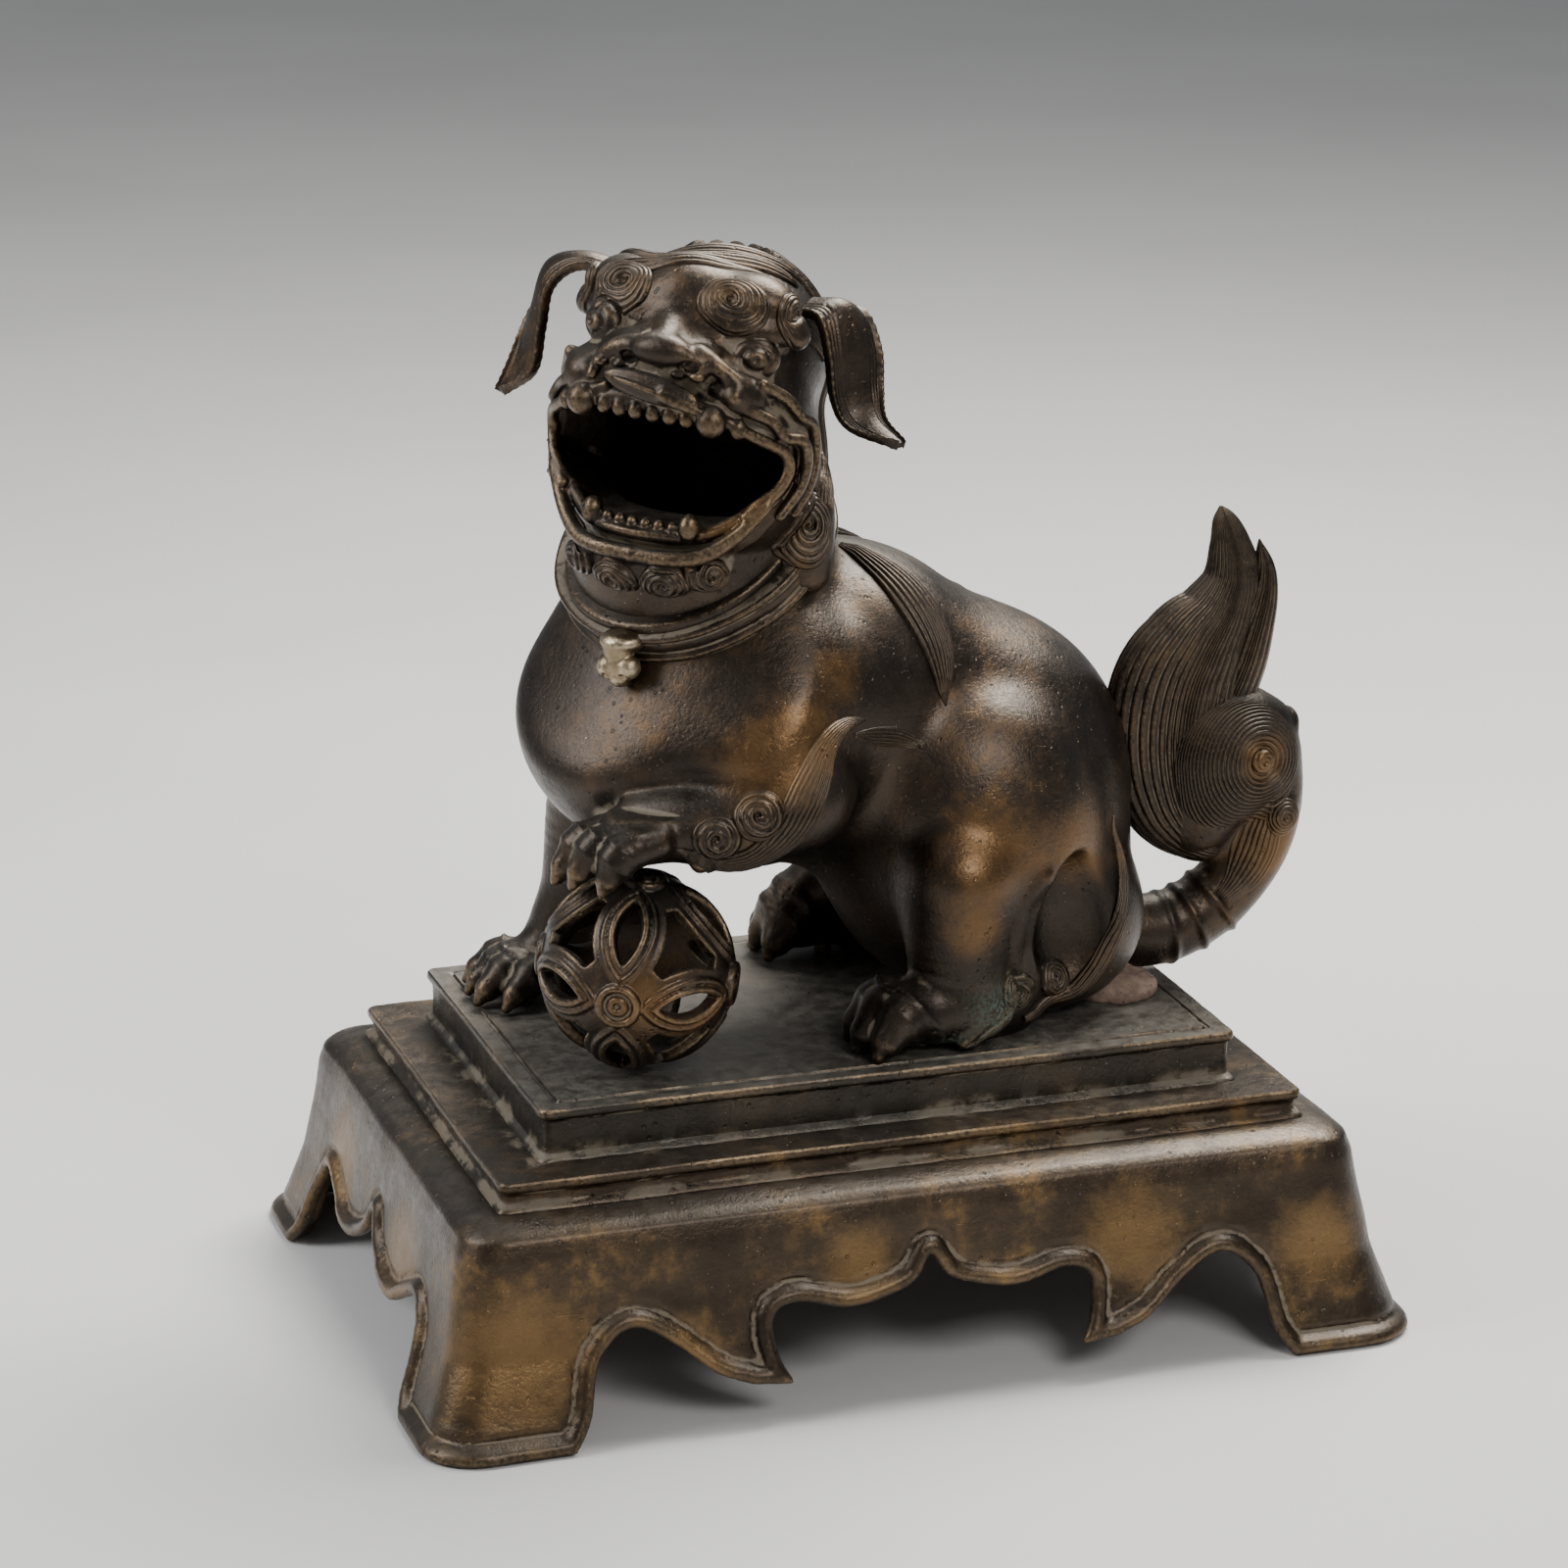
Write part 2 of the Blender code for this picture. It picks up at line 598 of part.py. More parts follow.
def window(name, outline, direction, up):
    """A cutter through the ball's shell along direction, with outline as (across, along up)."""
    side = up.cross(direction)
    bm = bmesh.new()
    ends = []
    for reach in WINDOW_REACH:
        scale = reach / WINDOW_REACH[0]
        corners = [direction * reach + (side * a + up * b) * scale for a, b in outline]
        ends.append([bm.verts.new(corner * MM) for corner in corners])
    near, far = ends
    for i in range(len(outline)):
        j = (i + 1) % len(outline)
        bm.faces.new((near[i], near[j], far[j], far[i]))
    bm.faces.new(near)
    bm.faces.new(far)
    bmesh.ops.translate(bm, vec=Vector(BALL_CENTRE) * MM, verts=bm.verts)
    return add_object(name, mesh_from(bm, name), cutters)


def lens_outline(half_length, half_width, steps=4):
    radius = (half_length ** 2 + half_width ** 2) / (2 * half_width)
    reach = math.asin(half_length / radius)
    arc = [(radius * math.cos(a) - (radius - half_width), radius * math.sin(a))
           for a in (reach * (2 * i / steps - 1) for i in range(steps + 1))]
    return arc + [(-x, z) for x, z in reversed(arc[1:-1])]


def make_ball():
    """A hollow ball with lens-shaped windows between its six bosses and three-sided ones among them."""
    bm = bmesh.new()
    add_egg(bm, BALL_CENTRE, (BALL_RADIUS,) * 3, sides=20)
    ball = add_object("brocade_ball", mesh_from(bm, "brocade_ball"), statue)
    bm = bmesh.new()
    add_egg(bm, BALL_CENTRE, (BALL_RADIUS - BALL_WALL,) * 3, sides=16)
    cut(ball, add_object("ball_core", mesh_from(bm, "ball_core"), cutters))
    axes = [Vector(axis) for axis in ((1, 0, 0), (-1, 0, 0), (0, 1, 0), (0, -1, 0), (0, 0, 1), (0, 0, -1))]
    lens = lens_outline(*LENS_HALF)
    for i, first in enumerate(axes):
        for second in axes[i + 1:]:
            if first.dot(second) == 0:
                direction = ball_direction(*(first + second))
                along = (ball_direction(*first) - ball_direction(*second)).normalized()
                cut(ball, window("lens_window", lens, direction, along))
    for x in (1, -1):
        for y in (1, -1):
            for z in (1, -1):
                direction = ball_direction(x, y, z)
                corners = []
                for axis in ((x, 0, 0), (0, y, 0), (0, 0, z)):
                    towards = ball_direction(*axis)
                    corners.append((towards - direction * towards.dot(direction)).normalized())
                up = corners[0]
                side = up.cross(direction)
                outline = [(CORNER_REACH * c.dot(side), CORNER_REACH * c.dot(up)) for c in corners]
                cut(ball, window("corner_window", outline, direction, up))
    cut(ball, floor_block("ball_floor", BALL_CENTRE, 20, TOP_Z + 4 * GAP))
    return ball


def make_clay():
    """Soft clay packed under the rump, where it meets the plinth."""
    centre = (80, -18, 83)
    clay = modelled("clay_patch", [(centre, (13, 13, 6))], [], 1.6, 0.10, statue, smooth=2)
    cut(clay, floor_block("clay_floor", centre, 60, TOP_Z + GAP))
    return clay


def rest_on(target, *others):
    """Cuts target back from the outside of each finished neighbour."""
    for other in others:
        cut(target, swollen(other))


BRONZE_SKIN = bronze("dark_bronze", BRONZE_DARK, 0.40)
BRONZE_WORN = bronze("warm_bronze", BRONZE_WARM, 0.36)
BRASS_EDGE = bronze("worn_edge", BRASS_WORN, 0.34)
CLAY_SKIN = bronze("dry_clay", CLAY, 0.95, 0.0)

make_plinth()
make_foot_pins()
body = make_body()
solid_legs = [make_hind_leg("hind_leg_left", -1), make_hind_leg("hind_leg_right", 1), make_right_foreleg()]
for leg, (pin_x, pin_y) in zip(solid_legs, FOOT_PINS):
    cut(leg, rod("pin_socket", (pin_x, pin_y, TOP_Z), PIN_RADIUS + GAP, 2 * (PIN_TOP_Z + GAP - TOP_Z)))
legs = [finish(leg, BRONZE_SKIN) for leg in solid_legs]
ball = finish(make_ball(), BRONZE_SKIN)
front_leg = finish(make_left_foreleg(), BRONZE_WORN)
collar = make_collar()
rest_on(body, *legs, front_leg)
body = finish(body, BRONZE_SKIN)
head = finish(make_head(), BRONZE_SKIN)
bell = make_bell()
rest_on(bell, collar, body, head)
finish(bell, BRASS_EDGE)
for ear_name, ear_side in (("ear_left", 1), ("ear_right", -1)):
    ear = make_ear(ear_name, ear_side)
    rest_on(ear, head)
    finish(ear, BRONZE_SKIN)
stalk, plume, curl = make_tail()
rest_on(stalk, body)
stalk = finish(stalk, BRONZE_SKIN)
rest_on(curl, stalk)
curl = finish(curl, BRONZE_WORN)
rest_on(plume, body, stalk, curl)
finish(plume, BRONZE_SKIN)
clay = make_clay()
rest_on(clay, body, stalk, legs[0])
finish(clay, CLAY_SKIN, 80)
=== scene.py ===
"""Looks of a cast bronze guardian lion on its stepped plinth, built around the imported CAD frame.

All lengths are in millimetres until a mesh is made; the frame is the CAD's: +Z up, the lion faces -X.
"""

import math

import bmesh
import bpy
import numpy as np
import openvdb
from mathutils import Matrix, Vector


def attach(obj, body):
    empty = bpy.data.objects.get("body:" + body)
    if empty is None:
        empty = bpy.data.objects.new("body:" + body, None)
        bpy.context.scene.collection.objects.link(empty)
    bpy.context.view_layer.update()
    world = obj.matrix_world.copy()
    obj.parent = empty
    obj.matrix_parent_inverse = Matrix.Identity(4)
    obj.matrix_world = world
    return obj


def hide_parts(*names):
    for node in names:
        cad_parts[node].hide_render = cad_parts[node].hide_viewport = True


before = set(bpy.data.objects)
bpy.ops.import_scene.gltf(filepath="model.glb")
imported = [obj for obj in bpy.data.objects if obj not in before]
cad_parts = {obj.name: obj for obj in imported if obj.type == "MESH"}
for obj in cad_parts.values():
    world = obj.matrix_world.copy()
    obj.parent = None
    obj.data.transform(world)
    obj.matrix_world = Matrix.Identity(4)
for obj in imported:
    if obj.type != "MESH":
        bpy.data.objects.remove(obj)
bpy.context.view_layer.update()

MM = 0.001
FAR = 9.0  # what a clay grid holds away from any surface
COARSE = 1.0
RIDGE_STEPS = 6  # points across one engraved hair


# ---------------------------------------------------------------- small maths

def lumps(points, size, seed):
    """Smooth noise of about -1 to 1 with lumps of about that size, from a sum of seeded waves."""
    chance = np.random.default_rng(seed)
    total = 0.0
    for _ in range(10):
        wave = chance.normal(size=3)
        wave *= 2 * math.pi / (size * chance.uniform(1.4, 3.0) * np.linalg.norm(wave))
        total = total + np.sin(sum(points[i] * wave[i] for i in range(3)) + chance.uniform(0, 7))
    return total / 3.0


def smooth_min(a, b, blend):
    if blend <= 0:
        return np.minimum(a, b)
    near = np.maximum(blend - np.abs(a - b), 0) / blend
    return np.minimum(a, b) - near * near * blend / 4


def spline(knots, steps):
    """A Catmull-Rom curve through knots, with that many steps between each two."""
    knots = np.array(knots, float)
    ends = np.concatenate([2 * knots[:1] - knots[1:2], knots, 2 * knots[-1:] - knots[-2:-1]])
    t = np.arange(steps)[:, None] / steps
    parts = []
    for a, b, c, d in zip(ends, ends[1:], ends[2:], ends[3:]):
        parts.append(0.5 * (2 * b + (c - a) * t + (2 * a - 5 * b + 4 * c - d) * t ** 2
                            + (3 * b - a - 3 * c + d) * t ** 3))
    return np.concatenate(parts + [knots[-1:]])


def unit(v):
    return v / np.maximum(np.linalg.norm(v, axis=-1, keepdims=True), 1e-9)


def facing(way):
    """A frame whose third column points along way."""
    return np.array(Vector(way).to_track_quat("Z", "Y").to_matrix())


def step_up(value, low, high):
    t = np.clip((value - low) / (high - low), 0, 1)
    return t * t * (3 - 2 * t)


def ridges(phase):
    """Rounded ridges with narrow grooves between them, 0 in a groove and 1 on a ridge."""
    return np.abs(np.sin(math.pi * phase)) ** 0.55


# ---------------------------------------------------------------- clay

class Clay:
    """A block of clay: signed distances on a grid, negative inside."""

    def __init__(self, lo, hi, step):
        self.step = step * COARSE
        self.lo = np.array(lo, float)
        self.axes = [np.arange(a, b + self.step, self.step, dtype=np.float32) for a, b in zip(lo, hi)]
        self.field = np.full([len(axis) for axis in self.axes], FAR, np.float32)

    def near(self, lo, hi):
        """The slices of the grid in a box, and their coordinates."""
        cuts = []
        for axis, low, high in zip(self.axes, lo, hi):
            cuts.append(slice(int(np.searchsorted(axis, low)), int(np.searchsorted(axis, high))))
        x, y, z = (axis[cut] for axis, cut in zip(self.axes, cuts))
        return tuple(cuts), (x[:, None, None], y[None, :, None], z[None, None, :])

    def join(self, cuts, distance, blend, carve):
        old = self.field[cuts]
        if carve:
            self.field[cuts] = -smooth_min(-old, distance, blend)
        else:
            self.field[cuts] = smooth_min(old, distance, blend)

    def egg(self, centre, radii, turn=None, blend=4.0, carve=False):
        turn = np.eye(3) if turn is None else np.array(turn)
        centre, radii = np.array(centre, float), np.array(radii, float)
        reach = np.sqrt(((turn * radii) ** 2).sum(axis=1)) + blend + FAR / 2
        cuts, p = self.near(centre - reach, centre + reach)
        q = [sum((p[i] - centre[i]) * turn[i, j] for i in range(3)) / radii[j] for j in range(3)]
        size = np.sqrt(sum(c * c for c in q)) + 1e-6
        slope = np.sqrt(sum((c / r) ** 2 for c, r in zip(q, radii))) + 1e-6
        self.join(cuts, size * (size - 1) / slope, blend, carve)

    def limbs(self, knots, blend=3.0, carve=False):
        """A soft limb through knots of (x, y, z, radius)."""
        line = spline(knots, 6)
        radius = line[:, 3].max() + blend + FAR / 2
        cuts, p = self.near(line[:, :3].min(axis=0) - radius, line[:, :3].max(axis=0) + radius)
        found = None
        for a, b in zip(line, line[1:]):
            along = b[:3] - a[:3]
            length = max(float(along @ along), 1e-6)
            rel = [p[i] - a[i] for i in range(3)]
            t = np.clip(sum(rel[i] * along[i] for i in range(3)) / length, 0, 1)
            away = np.sqrt(sum((rel[i] - t * along[i]) ** 2 for i in range(3)))
            away = away - (a[3] + (b[3] - a[3]) * t)
            found = away if found is None else np.minimum(found, away)
        self.join(cuts, found, blend, carve)

    def plane(self, height, blend=1.0):
        """Planes away everything below height."""
        z = self.axes[2][None, None, :]
        self.field = -smooth_min(-self.field, z - height, blend)

    def sample(self, array, points):
        at = (points - self.lo) / self.step
        top = np.array(array.shape) - 2
        low = np.clip(np.floor(at).astype(int), 0, top)
        part = np.clip(at - low, 0, 1)
        total = 0.0
        for corner in range(8):
            pick = np.array([corner & 1, corner >> 1 & 1, corner >> 2 & 1])
            weight = np.prod(np.where(pick, part, 1 - part), axis=-1)
            i, j, k = np.moveaxis(low + pick, -1, 0)
            total = total + weight * array[i, j, k]
        return total

    def slope(self, points, reach=1.2):
        parts = []
        for i in range(3):
            shift = np.zeros(3)
            shift[i] = reach
            parts.append(self.sample(self.field, points + shift) - self.sample(self.field, points - shift))
        return unit(np.stack(parts, axis=-1))

    def laid(self, points):
        """Points moved to the nearest surface, and the surface's normals there."""
        points = np.array(points, float)
        for _ in range(6):
            step = np.clip(self.sample(self.field, points), -3, 3)
            points = points - self.slope(points) * step[..., None]
        return points, self.slope(points, 2.0)

    def curved(self, reach):
        """How the surface bends: the field's blur over reach, which is above 0 on bulges."""
        soft = np.clip(self.field, -3, 3)
        width = max(1, int(round(reach / self.step)))
        for axis in range(3):
            for _ in range(2):
                total = soft.copy()
                for shift in range(1, width + 1):
                    total += np.roll(soft, shift, axis) + np.roll(soft, -shift, axis)
                soft = total / (2 * width + 1)
        return soft

    def cast(self, name):
        """A mesh object of the clay, with worn bulges and grimy hollows."""
        grid = openvdb.FloatGrid(FAR)
        grid.copyFromArray(self.field)
        points, quads = grid.convertToQuads(0.0)
        points = points * self.step + self.lo
        for _ in range(2):
            points = points - self.slope(points, self.step) * self.sample(self.field, points)[:, None]
        bend = self.sample(self.curved(1.6), points)
        return solid(name, points, quads, worn=0.6 * step_up(bend, 0.2, 0.6), grime=step_up(-bend, 0.1, 0.4))


# ---------------------------------------------------------------- pieces

pieces = []
# Places that handling has rubbed to warm brown, and places that have gone green: centre and reach
RUBBED = [((-34, -52, 168), 15), ((-22, -56, 176), 10), ((28, -56, 138), 17), ((24, -52, 116), 9),
          ((60, -46, 135), 15), ((-36, -42, 247), 13), ((-44, -44, 236), 9), ((122, -20, 146), 9),
          ((128, -16, 118), 12), ((-60, -8, 276), 8), ((-72, -66, 108), 14), ((-50, -60, 100), 10),
          ((28, 56, 138), 17), ((-116, -92, 26), 24), ((-70, -94, 18), 14), ((-20, -93, 40), 13),
          ((58, -94, 38), 18), ((112, -90, 28), 15), ((-134, -30, 30), 20), ((-132, 40, 34), 18),
          ((80, 92, 30), 20), ((-60, 92, 36), 22), ((132, 30, 30), 20), ((-30, 52, 170), 16),
          ((-10, -46, 190), 9), ((-2, 40, 200), 10), ((122, 6, 146), 9)]
VERDIGRIS = [((32, -52, 92), 8), ((70, -48, 82), 4), ((18, -52, 84), 4), ((-40, -30, 224), 5),
             ((30, 52, 90), 7)]


def solid(name, points, faces, worn=0.0, grime=0.0, sharp=None):
    """A mesh object from points in millimetres, with the paint layers that the bronze reads."""
    mesh = bpy.data.meshes.new(name)
    points = np.asarray(points, np.float32)
    faces = np.asarray(faces, np.int32)
    corners = faces.shape[1]
    mesh.vertices.add(len(points))
    mesh.vertices.foreach_set("co", (points * MM).ravel())
    mesh.loops.add(faces.size)
    mesh.loops.foreach_set("vertex_index", faces.ravel())
    mesh.polygons.add(len(faces))
    mesh.polygons.foreach_set("loop_start", np.arange(len(faces), dtype=np.int32) * corners)
    mesh.polygons.foreach_set("loop_total", np.full(len(faces), corners, np.int32))
    mesh.update(calc_edges=True)
    mesh.validate()
    layers = {"worn": worn, "grime": grime, "rubbed": spots(points, RUBBED), "green": spots(points, VERDIGRIS)}
    if len(mesh.vertices) == len(points):
        for layer, values in layers.items():
            data = mesh.attributes.new(layer, "FLOAT", "POINT")
            data.data.foreach_set("value", np.broadcast_to(np.asarray(values, np.float32), len(points)).copy())
    bm = bmesh.new()
    bm.from_mesh(mesh)
    bmesh.ops.remove_doubles(bm, verts=bm.verts, dist=2e-6)
    bmesh.ops.recalc_face_normals(bm, faces=bm.faces)
    if bm.calc_volume(signed=True) < 0:
        bmesh.ops.reverse_faces(bm, faces=bm.faces)
    bm.to_mesh(mesh)
    bm.free()
    mesh.shade_smooth()
    if sharp is not None:
        mesh.set_sharp_from_angle(angle=math.radians(sharp))
    piece = bpy.data.objects.new(name, mesh)
    bpy.context.scene.collection.objects.link(piece)
    pieces.append(piece)
    return piece


def spots(points, places):
    total = np.zeros(len(points), np.float32)
    for centre, reach in places:
        total += np.exp(-((points - np.array(centre)) ** 2).sum(axis=1) / (reach * reach))
    return np.minimum(total, 1.0)


def grid_faces(rows, columns, ring=False, start=0):
    i = np.arange(rows - 1)[:, None] * columns
    j = np.arange(columns if ring else columns - 1)[None, :]
    k = (j + 1) % columns
    a, b, c, d = i + j, i + k, i + columns + k, i + columns + j
    return np.stack([a, b, c, d], axis=-1).reshape(-1, 4) + start


def closed_sheet(name, top, under, worn, grime, ring=False):
    """A closed body between two grids of points; ring joins each row's ends."""
    rows, columns = top.shape[:2]
    count = rows * columns
    faces = [grid_faces(rows, columns, ring), grid_faces(rows, columns, ring, count)[:, ::-1]]
    order = np.arange(count).reshape(rows, columns)
    if ring:
        rims = [np.append(order[-1], order[-1][0]), np.append(order[0], order[0][0])[::-1]]
    else:
        rims = [np.concatenate([order[0], order[1:, -1], order[-1, -2::-1], order[-2::-1, 0]])]
    for rim in rims:
        a, b = rim[:-1], rim[1:]
        faces.append(np.stack([b, a, a + count, b + count], axis=-1))
    points = np.concatenate([top.reshape(-1, 3), under.reshape(-1, 3)])
    layers = [np.concatenate([np.broadcast_to(v, top.shape[:2]).ravel(), np.zeros(count)])
              for v in (worn, grime)]
    return solid(name, points, np.concatenate(faces), *layers)


def merged(name, group):
    """Several pieces made one."""
    for piece in group[1:]:
        pieces.remove(piece)
    with bpy.context.temp_override(active_object=group[0], selected_editable_objects=group,
                                   object=group[0], selected_objects=group):
        bpy.ops.object.join()
    group[0].name = name
    group[0].data.name = name
    return group[0]


def hair_paint(comb):
    """Wear on the tops of ridges and grime between them."""
    return 0.45 * step_up(comb, 0.75, 1.0), 0.8 * (1 - step_up(comb, 0.0, 0.55))


def relief(name, clay, places, heights, comb, ring=False):
    """A raised ornament laid on clay: a grid of places, with the height and the ridges of each."""
    sink = 1.5
    base, normal = clay.laid(places)
    return closed_sheet(name, base + normal * heights[..., None], base - normal * sink, *hair_paint(comb),
                        ring)


def lock(name, clay, knots, count, height=2.2, groove=0.55, bow=0.35):
    """A lock of hair on clay, through knots of (x, y, z, half width), with count ridges along it."""
    knots = np.array(knots, float)
    line = spline(knots, 8)
    length = np.linalg.norm(np.diff(line[:, :3], axis=0), axis=1).sum()
    line = spline(knots, max(4, int(length / (0.45 * COARSE) / len(knots))))
    centre, normal = clay.laid(line[:, :3])
    along = unit(np.gradient(centre, axis=0))
    side = unit(np.cross(normal, along))
    u = np.linspace(-1, 1, count * RIDGE_STEPS + 1)
    half = np.maximum(line[:, 3], 0.05)
    places = centre[:, None] + side[:, None] * (half[:, None] * u)[..., None]
    comb = ridges((u + 1) / 2 * count)
    deep = groove * np.clip(half / (count * 0.5), 0.15, 1)[:, None]
    edge = (1 - np.abs(u) ** 6) ** 0.5
    heights = np.minimum(height, half * 0.9)[:,
                                             None] * (bow * (1 - u * u) + 1 - bow) * edge - deep * (1 - comb)
    return relief(name, clay, places, heights, comb)


def curl(name, clay, centre, radii, across, turns, height=3.0, sweep=1, lean=(0, 0), groove=0.5, pitch=0):
    """A spiral curl on clay, with turns from eye to rim, or with one turn in each pitch if that is given.

    across is the direction of its first radius; lean moves its outline off its eye.
    """
    spot, normal = clay.laid(np.array([centre], float))
    normal = normal[0]
    right = unit(np.array(across, float) - normal * np.dot(across, normal))
    up = np.cross(normal, right)
    rings = int((max(radii) / pitch if pitch else turns) * RIDGE_STEPS * 1.2)
    rho = np.linspace(0, 1, rings)[:, None]
    theta = np.linspace(0, 2 * math.pi, int(max(radii) * 10 / COARSE), endpoint=False)[None, :]
    rim = 1 / np.sqrt((np.cos(theta) / radii[0]) ** 2 + (np.sin(theta) / radii[1]) ** 2)
    a = rho * (rim * np.cos(theta) + lean[0] * rho)
    b = rho * (rim * np.sin(theta) + lean[1] * rho)
    places = spot[0] + right * a[..., None] + up * b[..., None]
    away = np.hypot(a, b) / pitch if pitch else rho * turns
    comb = ridges(away - sweep * theta / (2 * math.pi))
    dome = height * (1 - rho ** 2 * 0.55) * (1 - rho ** 10) ** 0.5
    hollow = 0.18 * min(radii) * np.exp(-(np.hypot(a, b) / (0.2 * min(radii))) ** 2)
    heights = dome - groove * (1 - comb) - np.minimum(hollow, 1.2)
    return relief(name, clay, places, heights, comb, ring=True)


# ---------------------------------------------------------------- lion's clay

# The head's frame has columns ahead, to the lion's left and up; the neck's third column runs along the neck
HEAD_CENTRE = np.array([-32.0, -6.0, 270.0])
TURN, ROLL = math.radians(46), math.radians(4)
HEAD = np.array([[-math.cos(TURN), math.sin(TURN), 0], [-math.sin(TURN), -math.cos(TURN), 0], [0, 0, 1]])
HEAD = HEAD @ np.array(Matrix.Rotation(-ROLL, 3, "X"))
NECK_CENTRE = np.array([-37.5, -2.0, 216.5])
NECK = np.array(Matrix.Rotation(math.radians(37), 3, "Z") @ Matrix.Rotation(math.radians(-35), 3, "Y"))
NECK_RADIUS = 36.0
TOP_Z = 81.0
BALL_CENTRE = np.array([-65.0, -36.0, 109.2])


def on_head(*place):
    """A place on the head, given as distances ahead, to the left and up."""
    return HEAD_CENTRE + HEAD @ np.array(place, float)


def in_frame(places, centre, turn):
    """Places measured along the columns of turn, from centre."""
    return [sum((places[i] - centre[i]) * turn[i, j] for i in range(3)) for j in range(3)]


def on_head_knots(knots, side=1):
    return [(*on_head(f, side * s, u), r) for f, s, u, r in knots]


def toe(clay, knuckle, tip, radius):
    """A toe with a knuckle, a fold behind the nail and a claw."""
    knuckle, tip = np.array(knuckle, float), np.array(tip, float)
    middle = (knuckle + tip) / 2 + np.array([0, 0, radius * 0.35])
    clay.limbs([(*knuckle, radius * 0.9), (*middle, radius), (*tip, radius * 0.72)], 1.0)
    clay.egg(middle + (tip - middle) * 0.1, (radius * 1.12,) * 3, blend=1.2)
    for along in (-0.3, 0.4):
        clay.egg(middle + (tip - middle) * along, (radius * 1.13, radius * 1.13, 0.6), facing(tip - knuckle),
                 0.9)
    up = np.array([0, 0, radius])
    nail = tip + (tip - middle) * 0.45 - up * 0.25
    clay.limbs([(*(tip + up * 0.15), radius * 0.62), (*nail, radius * 0.3)], 0.6)


